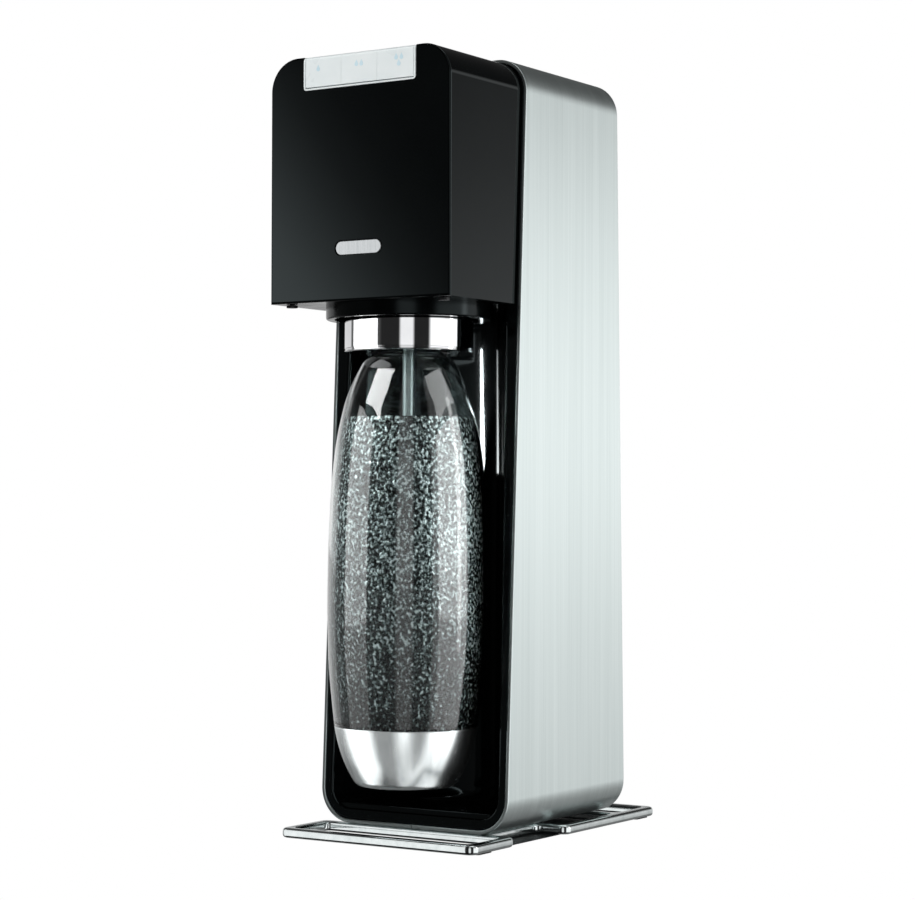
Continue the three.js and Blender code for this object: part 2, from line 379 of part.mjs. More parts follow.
// ------------------------------------------------------------------ bottle holder (leaning group, origin on the tilt pivot)
{
  const h = holder;
  let blk = turned([[0, 18], [27, 18], [30, 15], [30, -12.4], [32.4, -14.4], [32.4, -29.9], [18.6, -29.9], [18.6, -4.7], [0, -4.7]], 24);
  blk = cut(blk, rod('z', -10, 30, 0, 0, 3.75, 16), rod('x', 22, 40, 0, 0, 4.3, 20), rod('x', -40, -22, 0, 0, 4.3, 20));
  add('holder_block', blk, 'satin', h);
  add('chrome_ring', turned([[32.8, RING_HIGH], [RING_R - 0.4, RING_HIGH], [RING_R, RING_HIGH - 0.5], [RING_R, RING_LOW + 1.2], [RING_R - 1, RING_LOW], [22.5, RING_LOW], [22.5, RING_LOW + 1.7], [32.8, RING_LOW + 1.7], [32.8, RING_HIGH]], 28), 'chrome', h);
  add('grip_collar', turned([[17.4, -27.2], [18.3, -27.2], [18.3, -9], [17.4, -9], [17.4, -27.2]], 20), 'rubber', h);
  add('bottle_seal', turned([[7.5, -7.6], [15, -7.6], [15, -5.0], [7.5, -5.0], [7.5, -7.6]], 20), 'rubber', h);
  add('carbonation_tube', turned([[1.6, TUBE_TIP + 6], [TUBE_R, TUBE_TIP + 6], [TUBE_R, 15], [1.6, 15], [1.6, TUBE_TIP + 6]], 16), 'steel', h);
  add('tube_nozzle', turned([[0.8, TUBE_TIP], [2.4, TUBE_TIP], [3.9, TUBE_TIP + 2], [3.9, TUBE_TIP + 5.7], [0.8, TUBE_TIP + 5.7], [0.8, TUBE_TIP]], 16), 'steel', h);
  add('tube_nut', turned([[3.6, 18.3], [7, 18.3], [7, 23], [3.6, 23], [3.6, 18.3]], 6), 'brass', h);
  const pinR = rod('x', 23, 43, 0, 0, 4.0, 20), pinL = cut(rod('x', -43, -23, 0, 0, 4.0, 20), rod('x', -44, -26, 0, 0, 1.2, 8));
  add('hinge_pin_right', pinR, 'steel', h);
  add('hinge_pin_left', pinL, 'steel', h);
}

// ------------------------------------------------------------------ bottle (same leaning axis); h is height above the bottle's base
{
  const P = [[2.5, 27.0], [4.5, 28.4], [9.6, 31.3], [15.5, 34.1], [22, 36.4], [28.6, 38.2], [35, 39.4], [41.7, 40.2], [54.8, 41.6], [67.8, 42.7], [82, 43.4], [104, 43.9],
    [131.5, 43.6], [150, 43.0], [165, 42.3], [180, 41.0], [190, 39.8], [198, 38.4], [206, 36.7], [214.2, 34.6], [222, 31.7], [229, 28.6], [235, 25.2], [239, 20.5], [241, 18], [243, 15.5], [245, 14]];
  const R = (hh) => { for (let i = 1; i < P.length; i++) if (hh <= P[i][0]) { const [a, ra] = P[i - 1], [b, rb] = P[i]; return ra + (rb - ra) * (hh - a) / (b - a); } return 14; };
  const z = (hh) => hh - BOTTLE_DROP0;
  const CUP_H = 35, T = 1.1;
  const outer = [[0, z(4.4)], [24.0, z(4.4)]];
  for (const hh of [7.0, 9.6, 15.5, 22, 28.6, CUP_H + 0.3]) outer.push([R(hh) - 1.6, z(hh)]);
  for (const [hh] of P.filter(([q]) => q > 36)) outer.push([R(hh), z(hh)]);
  outer.splice(8, 0, [R(CUP_H + 0.3), z(CUP_H + 0.35)]);
  outer.push([14, z(249)], [17, z(249.6)], [17, z(251.6)], [14, z(252.2)], [14, z(BOTTLE_LEN - 0.5)], [13.5, z(BOTTLE_LEN)]);
  const innerPts = [[0, z(5.5)], [22.8, z(5.5)]];
  for (const hh of [8.1, 15.5, 28.6]) innerPts.push([R(hh) - 1.6 - T, z(hh)]);
  for (const hh of [41.7, 67.8, 104, 131.5, 165, 190, 206, 222, 235, 243]) innerPts.push([R(hh) - T - 0.15, z(hh - 0.4)]);
  innerPts.push([12.7, z(246)], [12.6, z(BOTTLE_LEN)]);
  add('bottle_shell', turned([...outer, ...innerPts.reverse()], 24), 'clear', holder);
  // steel cup pressed over the bottle's foot
  const cup = [[0, z(3.1)], [23, z(3.1)], [24, z(2.5)], [25.8, z(2.5)], [27.4, z(3.3)]];
  for (const hh of [4.5, 9.6, 15.5, 22, 28.6, CUP_H]) cup.push([R(hh), z(hh)]);
  for (const hh of [CUP_H, 28.6, 22, 15.5, 9.6, 7.0]) cup.push([R(hh) - 1.2, z(hh)]);
  cup.push([24.6, z(4.1)], [0, z(4.1)]);
  add('base_cup', turned(cup, 24), 'steel', holder);
  // the water fill, with a straight well for the carbonation tube
  const wat = [[0, z(5.9)], [22.3, z(5.9)]];
  for (const hh of [8.5, 15.5, 28.6, 41.7, 67.8, 104, 131.5, 165, 190, 204]) wat.push([R(hh) - (hh < 36 ? 1.6 : 0) - T - 1.3, z(hh)]);
  wat.push([4.7, z(204)], [4.7, z(181)], [0, z(181)]);
  add('water_fill', turned(wat, 20), 'water', holder);
}

// ------------------------------------------------------------------ gas line, wiring, power inlet
function tube(points, r, sides, steps) {
  const shape = new THREE.Shape();
  for (let i = 0; i < sides; i++) {
    const a = 2 * Math.PI * i / sides;
    if (i) shape.lineTo(r * Math.cos(a), r * Math.sin(a)); else shape.moveTo(r * Math.cos(a), r * Math.sin(a));
  }
  shape.closePath();
  const path = new THREE.CatmullRomCurve3(points.map((p) => new THREE.Vector3(...p)), false, 'centripetal');
  return solid(new THREE.ExtrudeGeometry(shape, { steps, bevelEnabled: false, extrudePath: path, curveSegments: 1 }));
}
add('gas_hose', tube([[0, 0.2, 374], [-2, -6, 374], [-12, -16, 373], [-30, -25, 368], [-43, -34, 356], [-49.5, -45, 338], [-50, -54, 322], [-50, -57, 308]], 2.3, 8, 16), 'rubber');
add('swivel_elbow', join(rod('z', 296.8, 307, -50, PIVOT_Y, 4.6, 12), rod('x', -49, -43.5, PIVOT_Y, PIVOT_Z, 3.1, 12)), 'brass');
{
  let s = join(block(-30, -18, 62, rearAt(25) - 1.2, 19, 31));
  s = cut(s, rod('y', 64, 90, -24, 25, 3.9, 16));
  s = s.add(rod('y', 63, 70, -24, 25, 1.0, 8));
  add('power_inlet', s, 'satin');
}
add('wire_loom', tube([[-34, 63.8, 27], [-39, 62.2, 40], [-40, 55, 60], [-40, 30, 80], [-38.5, 14, 110], [-38, 12, 200], [-38, 12, 300], [-38, 12, 370], [-38, 12, 392], [-38, 2, 400], [-38, -30, 401], [-38, -70, 398], [-37, -86, 393], [-36, -94.6, 388]], 1.6, 6, 30), 'rubber');

export default model;
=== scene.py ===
# Looks of the soda carbonator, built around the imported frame. Lengths in the builders below are millimetres.
import bpy, bmesh, json, math, random
from mathutils import Vector, Matrix, noise

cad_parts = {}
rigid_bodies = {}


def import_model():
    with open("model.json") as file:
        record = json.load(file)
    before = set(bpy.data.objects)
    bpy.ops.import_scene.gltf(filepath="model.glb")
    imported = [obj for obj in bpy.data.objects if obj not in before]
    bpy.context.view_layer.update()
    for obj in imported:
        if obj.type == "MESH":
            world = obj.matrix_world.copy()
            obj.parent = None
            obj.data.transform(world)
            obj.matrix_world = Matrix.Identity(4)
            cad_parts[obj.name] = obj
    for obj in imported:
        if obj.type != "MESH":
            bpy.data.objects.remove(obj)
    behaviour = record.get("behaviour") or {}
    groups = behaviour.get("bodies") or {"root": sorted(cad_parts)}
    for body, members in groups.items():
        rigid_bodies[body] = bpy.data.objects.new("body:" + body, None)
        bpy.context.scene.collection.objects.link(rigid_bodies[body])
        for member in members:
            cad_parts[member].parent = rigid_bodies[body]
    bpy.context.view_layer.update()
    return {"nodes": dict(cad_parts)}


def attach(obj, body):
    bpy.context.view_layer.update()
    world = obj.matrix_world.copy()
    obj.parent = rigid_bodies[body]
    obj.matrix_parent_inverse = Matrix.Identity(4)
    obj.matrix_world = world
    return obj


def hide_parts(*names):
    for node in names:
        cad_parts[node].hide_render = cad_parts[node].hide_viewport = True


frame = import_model()
N = frame["nodes"]
scene = bpy.context.scene
MM = 0.001

# ------------------------------------------------------------------ shared dimensions (mm)
TOWER_Z0, TOWER_Z1, TOWER_HALF, TOWER_R, WRAP_T = 6.1, 430.0, 62.0, 19.5, 2.0
FRONT_Y0, FRONT_Y1, REAR_Y0, REAR_Y1 = -53.5, -34.0, 75.5, 66.0
NICHE_R, NICHE_Y, NICHE_FLOOR = 55.5, -60.0, 13.7
HEAD_HALF, HEAD_FRONT, HEAD_Z0, HEAD_Z1, HEAD_R = 59.0, -106.0, 294.0, 428.0, 17.5
PIVOT = Vector((0, -57, 300))
LEAN = math.radians(0.5)
HOLD = Matrix.Translation(PIVOT) @ Matrix.Rotation(-LEAN, 4, 'X')      # holder's own axes, in mm
DROP0 = 272.0                                                           # bottle base below the pivot


def front_at(z):
    return FRONT_Y0 + (FRONT_Y1 - FRONT_Y0) * (z - TOWER_Z0) / (TOWER_Z1 - TOWER_Z0)


def rear_at(z):
    return REAR_Y0 + (REAR_Y1 - REAR_Y0) * (z - TOWER_Z0) / (TOWER_Z1 - TOWER_Z0)


# ------------------------------------------------------------------ camera
def make_camera():
    a, p, r = math.radians(33.129), math.radians(1.2), math.radians(0.144)
    fw = Vector((-math.sin(a) * math.cos(p), math.cos(a) * math.cos(p), math.sin(p)))
    rt = Vector((math.cos(a), math.sin(a), 0))
    up = rt.cross(fw)
    rt2 = rt * math.cos(r) + up * math.sin(r)
    up2 = -rt * math.sin(r) + up * math.cos(r)
    cam = bpy.data.cameras.new("camera")
    cam.sensor_fit = 'HORIZONTAL'
    cam.sensor_width = 36
    cam.lens = 94.95
    cam.clip_start, cam.clip_end = 0.05, 50
    ob = bpy.data.objects.new("camera", cam)
    scene.collection.objects.link(ob)
    m = Matrix.Identity(4)
    for i in range(3):
        m[i][0], m[i][1], m[i][2] = rt2[i], up2[i], -fw[i]
    m.translation = Vector((0.74978, -1.15697, 0.18684))
    ob.matrix_world = m
    scene.camera = ob


make_camera()


# ------------------------------------------------------------------ mesh helpers
def finish_mesh(ob, sharp=38, weighted=True):
    me = ob.data
    bm = bmesh.new()
    bm.from_mesh(me)
    bmesh.ops.remove_doubles(bm, verts=bm.verts, dist=1e-7)
    bmesh.ops.dissolve_degenerate(bm, edges=bm.edges, dist=1e-7)
    bmesh.ops.recalc_face_normals(bm, faces=bm.faces)
    bm.to_mesh(me)
    bm.free()
    for p in me.polygons:
        p.use_smooth = True
    me.set_sharp_from_angle(angle=math.radians(sharp))
    if weighted:
        m = ob.modifiers.new("weighted", 'WEIGHTED_NORMAL')
        m.mode = 'FACE_AREA'
        m.keep_sharp = True
        m.weight = 80
    return ob


def mesh_from(name, verts, faces):
    me = bpy.data.meshes.new(name)
    me.from_pydata([tuple(c * MM for c in v) for v in verts], [], faces)
    me.update()
    ob = bpy.data.objects.new(name, me)
    scene.collection.objects.link(ob)
    return ob


def outline(pts, seg=8):
    """closed 2D outline; each point is (x, y) or (x, y, corner radius)"""
    out = []
    n = len(pts)
    for i in range(n):
        q = pts[i]
        px, py, r = q[0], q[1], (q[2] if len(q) > 2 else 0)
        if not r:
            out.append((px, py))
            continue
        a, b = pts[i - 1], pts[(i + 1) % n]
        u = Vector((a[0] - px, a[1] - py)).normalized()
        w = Vector((b[0] - px, b[1] - py)).normalized()
        half = math.acos(max(-1, min(1, u.dot(w)))) / 2
        d = r / math.tan(half)
        c = Vector((px, py)) + (u + w).normalized() * (r / math.sin(half))
        a0 = math.atan2(py + u.y * d - c.y, px + u.x * d - c.x)
        a1 = math.atan2(py + w.y * d - c.y, px + w.x * d - c.x)
        da = a1 - a0
        while da > math.pi: da -= 2 * math.pi
        while da < -math.pi: da += 2 * math.pi
        for k in range(seg + 1):
            t = a0 + da * k / seg
            out.append((c.x + r * math.cos(t), c.y + r * math.sin(t)))
    return out


def fillet_open(pts, seg=5):
    """like outline, for an open profile: the end points keep no radius"""
    ring = outline([(pts[0][0], pts[0][1])] + list(pts[1:-1]) + [(pts[-1][0], pts[-1][1])], seg)
    return ring


def rect(x0, x1, y0, y1, r=0, seg=8):
    return outline([(x0, y0, r), (x1, y0, r), (x1, y1, r), (x0, y1, r)], seg)


def area2(p):
    return sum(p[i - 1][0] * p[i][1] - p[i][0] * p[i - 1][1] for i in range(len(p)))


def inset(p, d):
    """offsets a closed outline inwards by d, mitred"""
    if not d:
        return list(p)
    s = 1 if area2(p) > 0 else -1
    out = []
    n = len(p)
    for i in range(n):
        a, b, c = Vector(p[i - 1]), Vector(p[i]), Vector(p[(i + 1) % n])
        e1, e2 = (b - a).normalized(), (c - b).normalized()
        n1, n2 = Vector((-e1.y, e1.x)) * s, Vector((-e2.y, e2.x)) * s
        m = n1 + n2
        k = m.length_squared / 2
        out.append(tuple(b + m * (d / max(k, 0.3))))
    return out


def loft(name, loops, close_ends=True):
    n = len(loops[0])
    verts = [v for l in loops for v in l]
    faces = []
    for j in range(len(loops) - 1):
        for i in range(n):
            k = (i + 1) % n
            faces.append((j * n + i, j * n + k, (j + 1) * n + k, (j + 1) * n + i))
    if close_ends:
        faces.append(tuple(range(n))[::-1])
        faces.append(tuple((len(loops) - 1) * n + i for i in range(n)))
    return mesh_from(name, verts, faces)


def prism(name, pts, axis, a, b, ra=0.0, rb=0.0, seg=4):
    """prism of a 2D outline along an axis, its end edges rounded by ra and rb.
    axis 'y': pts are (x, z); 'x': (y, z); 'z': (x, y). a and b are numbers or functions of the 2D point"""
    fa = a if callable(a) else (lambda u, v: a)
    fb = b if callable(b) else (lambda u, v: b)

    def place(u, v, w):
        return (u, w, v) if axis == 'y' else ((w, u, v) if axis == 'x' else (u, v, w))
    loops = []
    if ra:
        for k in range(seg + 1):
            t = math.pi / 2 * k / seg
            loops.append([place(u, v, fa(u, v) + ra * (1 - math.sin(t))) for u, v in inset(pts, ra * (1 - math.cos(math.pi / 2 - t)))])
        loops = [[place(u, v, fa(u, v) + ra * (1 - math.sin(t))) for u, v in inset(pts, ra * (1 - math.cos(t)))] for t in [math.pi / 2 * (1 - k / seg) for k in range(seg + 1)]]
    else:
        loops.append([place(u, v, fa(u, v)) for u, v in pts])
    if rb:
        loops += [[place(u, v, fb(u, v) - rb * (1 - math.sin(t))) for u, v in inset(pts, rb * (1 - math.cos(t)))] for t in [math.pi / 2 * k / seg for k in range(seg + 1)]]
    else:
        loops.append([place(u, v, fb(u, v)) for u, v in pts])
    return loft(name, loops)


def lathe(name, prof, n=128, mat=None, x=0.0, y=0.0):
    """revolves a profile of (radius, height) about Z; it closes on itself or ends on the axis"""
    mat = mat or Matrix.Translation((x, y, 0))
    on_axis = prof[0][0] < 1e-9 and prof[-1][0] < 1e-9
    closed = not on_axis
    rings, verts, faces = [], [], []
    for r, h in prof:
        if r < 1e-9:
            rings.append([len(verts)])
            verts.append(mat @ Vector((0, 0, h)))
        else:
            rings.append(list(range(len(verts), len(verts) + n)))
            verts += [mat @ Vector((r * math.cos(2 * math.pi * i / n), r * math.sin(2 * math.pi * i / n), h)) for i in range(n)]
    pairs = list(zip(rings, rings[1:])) + ([(rings[-1], rings[0])] if closed else [])
    for a, b in pairs:
        if len(a) == 1 and len(b) == 1:
            continue
        for i in range(n):
            k = (i + 1) % n
            if len(a) == 1:
                faces.append((a[0], b[k], b[i]))
            elif len(b) == 1:
                faces.append((a[i], a[k], b[0]))
            else:
                faces.append((a[i], a[k], b[k], b[i]))
    return mesh_from(name, verts, faces)


def smooth_profile(pts, per=6):
    """Catmull-Rom through (height, radius) points, returned as (radius, height)"""
    out = []
    for i in range(len(pts) - 1):
        p0 = pts[max(i - 1, 0)]
        p1, p2 = pts[i], pts[i + 1]
        p3 = pts[min(i + 2, len(pts) - 1)]
        for k in range(per):
            t = k / per
            q = []
            for c in (0, 1):
                a, b, d, e = p0[c], p1[c], p2[c], p3[c]
                q.append(0.5 * (2 * b + (d - a) * t + (2 * a - 5 * b + 4 * d - e) * t * t + (3 * b - a - 3 * d + e) * t ** 3))
            out.append((q[1], q[0]))
    out.append((pts[-1][1], pts[-1][0]))
    return out


def boolean(ob, other, op='DIFFERENCE'):
    for o in (ob, other):
        bm = bmesh.new()
        bm.from_mesh(o.data)
        bmesh.ops.recalc_face_normals(bm, faces=bm.faces)
        bm.to_mesh(o.data)
        bm.free()
    m = ob.modifiers.new("cut", 'BOOLEAN')
    m.operation = op
    m.solver = 'EXACT'
    m.object = other
    bpy.context.view_layer.update()
    me = bpy.data.meshes.new_from_object(ob.evaluated_get(bpy.context.evaluated_depsgraph_get()))
    ob.modifiers.clear()
    old = ob.data
    ob.data = me
    bpy.data.meshes.remove(old)
    bpy.data.objects.remove(other)
    return ob


def bevel(ob, width, seg=3, angle=35):
    m = ob.modifiers.new("bevel", 'BEVEL')
    m.width = width * MM
    m.segments = seg
    m.limit_method = 'ANGLE'
    m.angle_limit = math.radians(angle)
    m.use_clamp_overlap = True
    m.harden_normals = False
    return ob


def box(name, x0, x1, y0, y1, z0, z1):
    return prism(name, [(x0, y0), (x1, y0), (x1, y1), (x0, y1)], 'z', z0, z1)


def cyl(name, axis, a, b, c1, c2, r, n=64):
    pts = [(c1 + r * math.cos(2 * math.pi * i / n), c2 + r * math.sin(2 * math.pi * i / n)) for i in range(n)]
    return prism(name, pts, axis, a, b)


# ------------------------------------------------------------------ materials
def lin(c):
    return tuple((x / 12.92 if x <= 0.04045 else ((x + 0.055) / 1.055) ** 2.4) for x in c)


def srgb(r, g, b):
    return (*lin((r / 255, g / 255, b / 255)), 1)


class Mat:
    def __init__(self, name):
        self.m = bpy.data.materials.new(name)
        self.m.use_nodes = True
        self.t = self.m.node_tree
        self.b = self.t.nodes["Principled BSDF"]
        self.out = self.t.nodes["Material Output"]

    def n(self, kind, **kw):
        nd = self.t.nodes.new(kind)
        for k, v in kw.items():
            if k in nd.inputs.keys() if hasattr(nd.inputs, "keys") else False:
                nd.inputs[k].default_value = v
            else:
                setattr(nd, k, v)
        return nd

    def link(self, a, b):
        self.t.links.new(a, b)

    def set(self, **kw):
        for k, v in kw.items():
            self.b.inputs[k.replace("_", " ")].default_value = v
        return self

    def coords(self, sx, sy, sz):
        tc = self.t.nodes.new('ShaderNodeTexCoord')
        mp = self.t.nodes.new('ShaderNodeMapping')
        mp.inputs['Scale'].default_value = (sx, sy, sz)
        self.link(tc.outputs['Object'], mp.inputs['Vector'])
        return mp.outputs['Vector']

    def noise(self, vec, scale, detail=3.0, rough=0.5):
        nd = self.t.nodes.new('ShaderNodeTexNoise')
        nd.inputs['Scale'].default_value = scale
        nd.inputs['Detail'].default_value = detail
        nd.inputs['Roughness'].default_value = rough
        self.link(vec, nd.inputs['Vector'])
        return nd.outputs['Fac']

    def voronoi(self, vec, scale, feature='F1', out='Distance', rand=1.0):
        nd = self.t.nodes.new('ShaderNodeTexVoronoi')
        nd.feature = feature
        nd.inputs['Scale'].default_value = scale
        nd.inputs['Randomness'].default_value = rand
        self.link(vec, nd.inputs['Vector'])
        return nd.outputs[out]

    def ramp(self, fac, stops, interp='LINEAR'):
        nd = self.t.nodes.new('ShaderNodeValToRGB')
        nd.color_ramp.interpolation = interp
        el = nd.color_ramp.elements
        while len(el) < len(stops):
            el.new(0.5)
        for e, (p, c) in zip(el, stops):
            e.position = p
            e.color = c if len(c) == 4 else (*c, 1)
        self.link(fac, nd.inputs['Fac'])
        return nd.outputs['Color']

    def maprange(self, fac, a0, a1, b0, b1):
        nd = self.t.nodes.new('ShaderNodeMapRange')
        for k, v in zip(('From Min', 'From Max', 'To Min', 'To Max'), (a0, a1, b0, b1)):
            nd.inputs[k].default_value = v
        self.link(fac, nd.inputs['Value'])
        return nd.outputs['Result']

    def math(self, op, a, b=None):
        nd = self.t.nodes.new('ShaderNodeMath')
        nd.operation = op
        for i, v in enumerate((a, b)):
            if v is None:
                continue
            if isinstance(v, (int, float)):
                nd.inputs[i].default_value = v
            else:
                self.link(v, nd.inputs[i])
        return nd.outputs[0]

    def bump(self, height, strength, dist, normal=None):
        nd = self.t.nodes.new('ShaderNodeBump')
        nd.inputs['Strength'].default_value = strength
        nd.inputs['Distance'].default_value = dist
        self.link(height, nd.inputs['Height'])
        if normal is not None:
            self.link(normal, nd.inputs['Normal'])
        return nd.outputs['Normal']

    def normal(self, n):
        self.link(n, self.b.inputs['Normal'])
        return self


def g(v):
    return (v, v, v, 1)


def mat_brushed():
    m = Mat("brushed_aluminium").set(Metallic=1.0, Anisotropic=0.0)
    v = m.coords(6, 900, 6)
    fine = m.noise(v, 1.0, 4, 0.6)
    v2 = m.coords(3, 160, 3)
    wide = m.noise(v2, 1.0, 2, 0.5)
    mix = m.math('ADD', m.math('MULTIPLY', fine, 0.6), m.math('MULTIPLY', wide, 0.4))
    m.link(m.ramp(mix, [(0.3, srgb(208, 218, 217)), (0.7, srgb(224, 233, 232))]), m.b.inputs['Base Color'])
    m.link(m.maprange(fine, 0.3, 0.7, 0.32, 0.38), m.b.inputs['Roughness'])
    m.normal(m.bump(fine, 0.06, 0.00002))
    return m.m


def mat_gloss_black(name="gloss_black", r0=0.04, r1=0.06, spec=0.3):
    m = Mat(name).set(Metallic=0.0)
    m.b.inputs['Specular IOR Level'].default_value = spec
    m.b.inputs['Specular Tint'].default_value = (0.80, 0.97, 1.0, 1)
    v = m.coords(1, 1, 1)
    n1 = m.noise(v, 35, 3)
    m.link(m.ramp(n1, [(0.3, (0.0010, 0.0013, 0.0014)), (0.7, (0.0020, 0.0025, 0.0027))]), m.b.inputs['Base Color'])
    m.link(m.maprange(m.noise(v, 60, 4), 0.3, 0.7, r0, r1), m.b.inputs['Roughness'])
    m.normal(m.bump(m.noise(v, 900, 2), 0.03, 0.00002))
    return m.m


def mat_satin_black(name="satin_black", grain=2600, strength=0.25):
    m = Mat(name).set(Metallic=0.0)
    v = m.coords(1, 1, 1)
    n1 = m.noise(v, 80, 3)
    m.link(m.ramp(n1, [(0.3, (0.0125, 0.0135, 0.0145)), (0.7, (0.0145, 0.0155, 0.017))]), m.b.inputs['Base Color'])
    m.link(m.maprange(m.noise(v, 300, 3), 0.3, 0.7, 0.38, 0.5), m.b.inputs['Roughness'])
    m.normal(m.bump(m.noise(v, grain, 2), strength, 0.00008))
    return m.m


def mat_metal(name, c0, c1, r0, r1, scale=(40, 40, 40), noise_scale=1.0, bump=0.05, dist=0.00002):
    m = Mat(name).set(Metallic=1.0)
    v = m.coords(*scale)
    f = m.noise(v, noise_scale, 4, 0.55)
    m.link(m.ramp(f, [(0.3, c0), (0.7, c1)]), m.b.inputs['Base Color'])
    m.link(m.maprange(f, 0.3, 0.7, r0, r1), m.b.inputs['Roughness'])
    m.normal(m.bump(f, bump, dist))
    return m.m


def mat_plastic(name, c0, c1, r0, r1, scale=60, bump=0.05, dist=0.00003, metallic=0.0, grain=1500):
    m = Mat(name).set(Metallic=metallic)
    v = m.coords(1, 1, 1)
    f = m.noise(v, scale, 3)
    m.link(m.ramp(f, [(0.3, c0), (0.7, c1)]), m.b.inputs['Base Color'])
    m.link(m.maprange(f, 0.3, 0.7, r0, r1), m.b.inputs['Roughness'])
    m.normal(m.bump(m.noise(v, grain, 2), bump, dist))
    return m.m


M = {}
M["brushed"] = mat_brushed()
M["black"] = mat_gloss_black()
M["liner"] = mat_gloss_black("gloss_black_liner", 0.05, 0.08, 0.3)
M["cover"] = mat_gloss_black("black_underside", 0.16, 0.24, 0.2)
M["satin"] = mat_satin_black()
M["base"] = mat_metal("base_steel", srgb(204, 211, 211), srgb(225, 230, 230), 0.08, 0.13, (30, 30, 30), 6, 0.03)
M["chrome"] = mat_metal("chrome", srgb(232, 233, 235), srgb(242, 243, 244), 0.03, 0.06, (20, 20, 20), 3, 0.02)
M["steel_cup"] = mat_metal("steel_cup", srgb(200, 206, 207), srgb(222, 227, 227), 0.24, 0.28, (160, 160, 3), 1, 0.02)
M["steel"] = mat_metal("bright_steel", srgb(190, 194, 196), srgb(220, 223, 225), 0.16, 0.26, (1, 1, 1), 160)
M["zinc"] = mat_metal("zinc_plate", srgb(150, 155, 158), srgb(184, 188, 190), 0.34, 0.5, (1, 1, 1), 90, 0.15, 0.00006)
M["brass"] = mat_metal("brass", srgb(176, 140, 70), srgb(206, 170, 96), 0.2, 0.32, (1, 1, 1), 120)
M["pearl"] = mat_plastic("pearl_silver", srgb(222, 230, 231), srgb(232, 238, 238), 0.26, 0.32, 40, 0.03, 0.00002, 0.0)
M["mark"] = mat_plastic("pale_blue_print", srgb(192, 219, 229), srgb(206, 228, 236), 0.3, 0.36, 40, 0.03, 0.00002, 0.0)
M["tube"] = mat_metal("satin_steel_tube", srgb(152, 167, 167), srgb(174, 188, 188), 0.42, 0.5, (1, 1, 1), 160, 0.03)
M["badge"] = mat_metal("badge_silver", srgb(186, 190, 192), srgb(212, 215, 217), 0.22, 0.3, (400, 20, 20), 2, 0.05)
M["rubber"] = mat_satin_black("rubber", 1200, 0.4)
M["nylon"] = mat_plastic("nylon", srgb(214, 208, 190), srgb(232, 228, 214), 0.4, 0.5)
M["pcb"] = mat_plastic("solder_mask", srgb(14, 74, 38), srgb(26, 96, 52), 0.3, 0.45, 400)
M["enamel"] = mat_plastic("grey_enamel", srgb(112, 122, 134), srgb(128, 138, 150), 0.22, 0.3, 30)
M["can"] = mat_metal("motor_can", srgb(168, 172, 175), srgb(196, 199, 202), 0.25, 0.36, (300, 2, 2), 2)


def mat_pet():
    m = Mat("clear_pet").set(Metallic=0.0, Roughness=0.02, IOR=1.5)
    m.b.inputs['Transmission Weight'].default_value = 1.0
    m.b.inputs['Base Color'].default_value = (0.94, 0.975, 0.975, 1)
    v = m.coords(1, 1, 1)
    m.normal(m.bump(m.noise(v, 25, 2), 0.04, 0.0004))
    return m.m


def mat_water():
    """carbonated water: a dense swarm of small bubbles, dark and bright side by side"""
    m = Mat("sparkling_water").set(Metallic=0.55, IOR=1.33)
    v = m.coords(1, 1, 0.85)
    grain = m.noise(v, 640, 2, 0.55)
    cells = m.voronoi(v, 700)
    big = m.noise(v, 45, 3)
    sep = m.t.nodes.new('ShaderNodeSeparateXYZ')
    m.link(m.coords(1, 1, 1), sep.inputs[0])
    painted_bottom_shade = m.maprange(sep.outputs['Z'], 0.06, 0.155, -0.075, 0.0)          # painted shade: the water's colour darkens towards the bottom
    mixv = m.math('ADD', m.math('ADD', m.math('MULTIPLY', grain, 0.82), m.math('MULTIPLY', big, 0.18)), painted_bottom_shade)
    m.link(m.ramp(mixv, [(0.40, srgb(16, 20, 20)), (0.48, srgb(70, 78, 78)), (0.54, srgb(136, 152, 152)), (0.61, srgb(230, 244, 244))]), m.b.inputs['Base Color'])
    m.b.inputs['Roughness'].default_value = 0.16
    m.b.inputs['Specular IOR Level'].default_value = 0.9
    n1 = m.bump(grain, 0.9, 0.0011)
    m.normal(m.bump(cells, 0.5, 0.0006, n1))
    return m.m


M["pet"] = mat_pet()
M["water"] = mat_water()

FINISH = {}


def done(ob, mat, body, nodes=(), sharp=38, weighted=True, bevel_mm=0, bevel_seg=3, bevel_angle=35):
    me = ob.data
    me.materials.clear()
    me.materials.append(M[mat] if isinstance(mat, str) else mat)
    if bevel_mm:
        bm = bmesh.new(); bm.from_mesh(me)
        bmesh.ops.remove_doubles(bm, verts=bm.verts, dist=1e-7)
        bmesh.ops.recalc_face_normals(bm, faces=bm.faces)
        bm.to_mesh(me); bm.free()
        bevel(ob, bevel_mm, bevel_seg, bevel_angle)
        bpy.context.view_layer.update()
        new = bpy.data.meshes.new_from_object(ob.evaluated_get(bpy.context.evaluated_depsgraph_get()))
        ob.modifiers.clear()
        ob.data = new
        bpy.data.meshes.remove(me)
    finish_mesh(ob, sharp, weighted)
    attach(ob, body)
    if nodes:
        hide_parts(*nodes)
    return ob


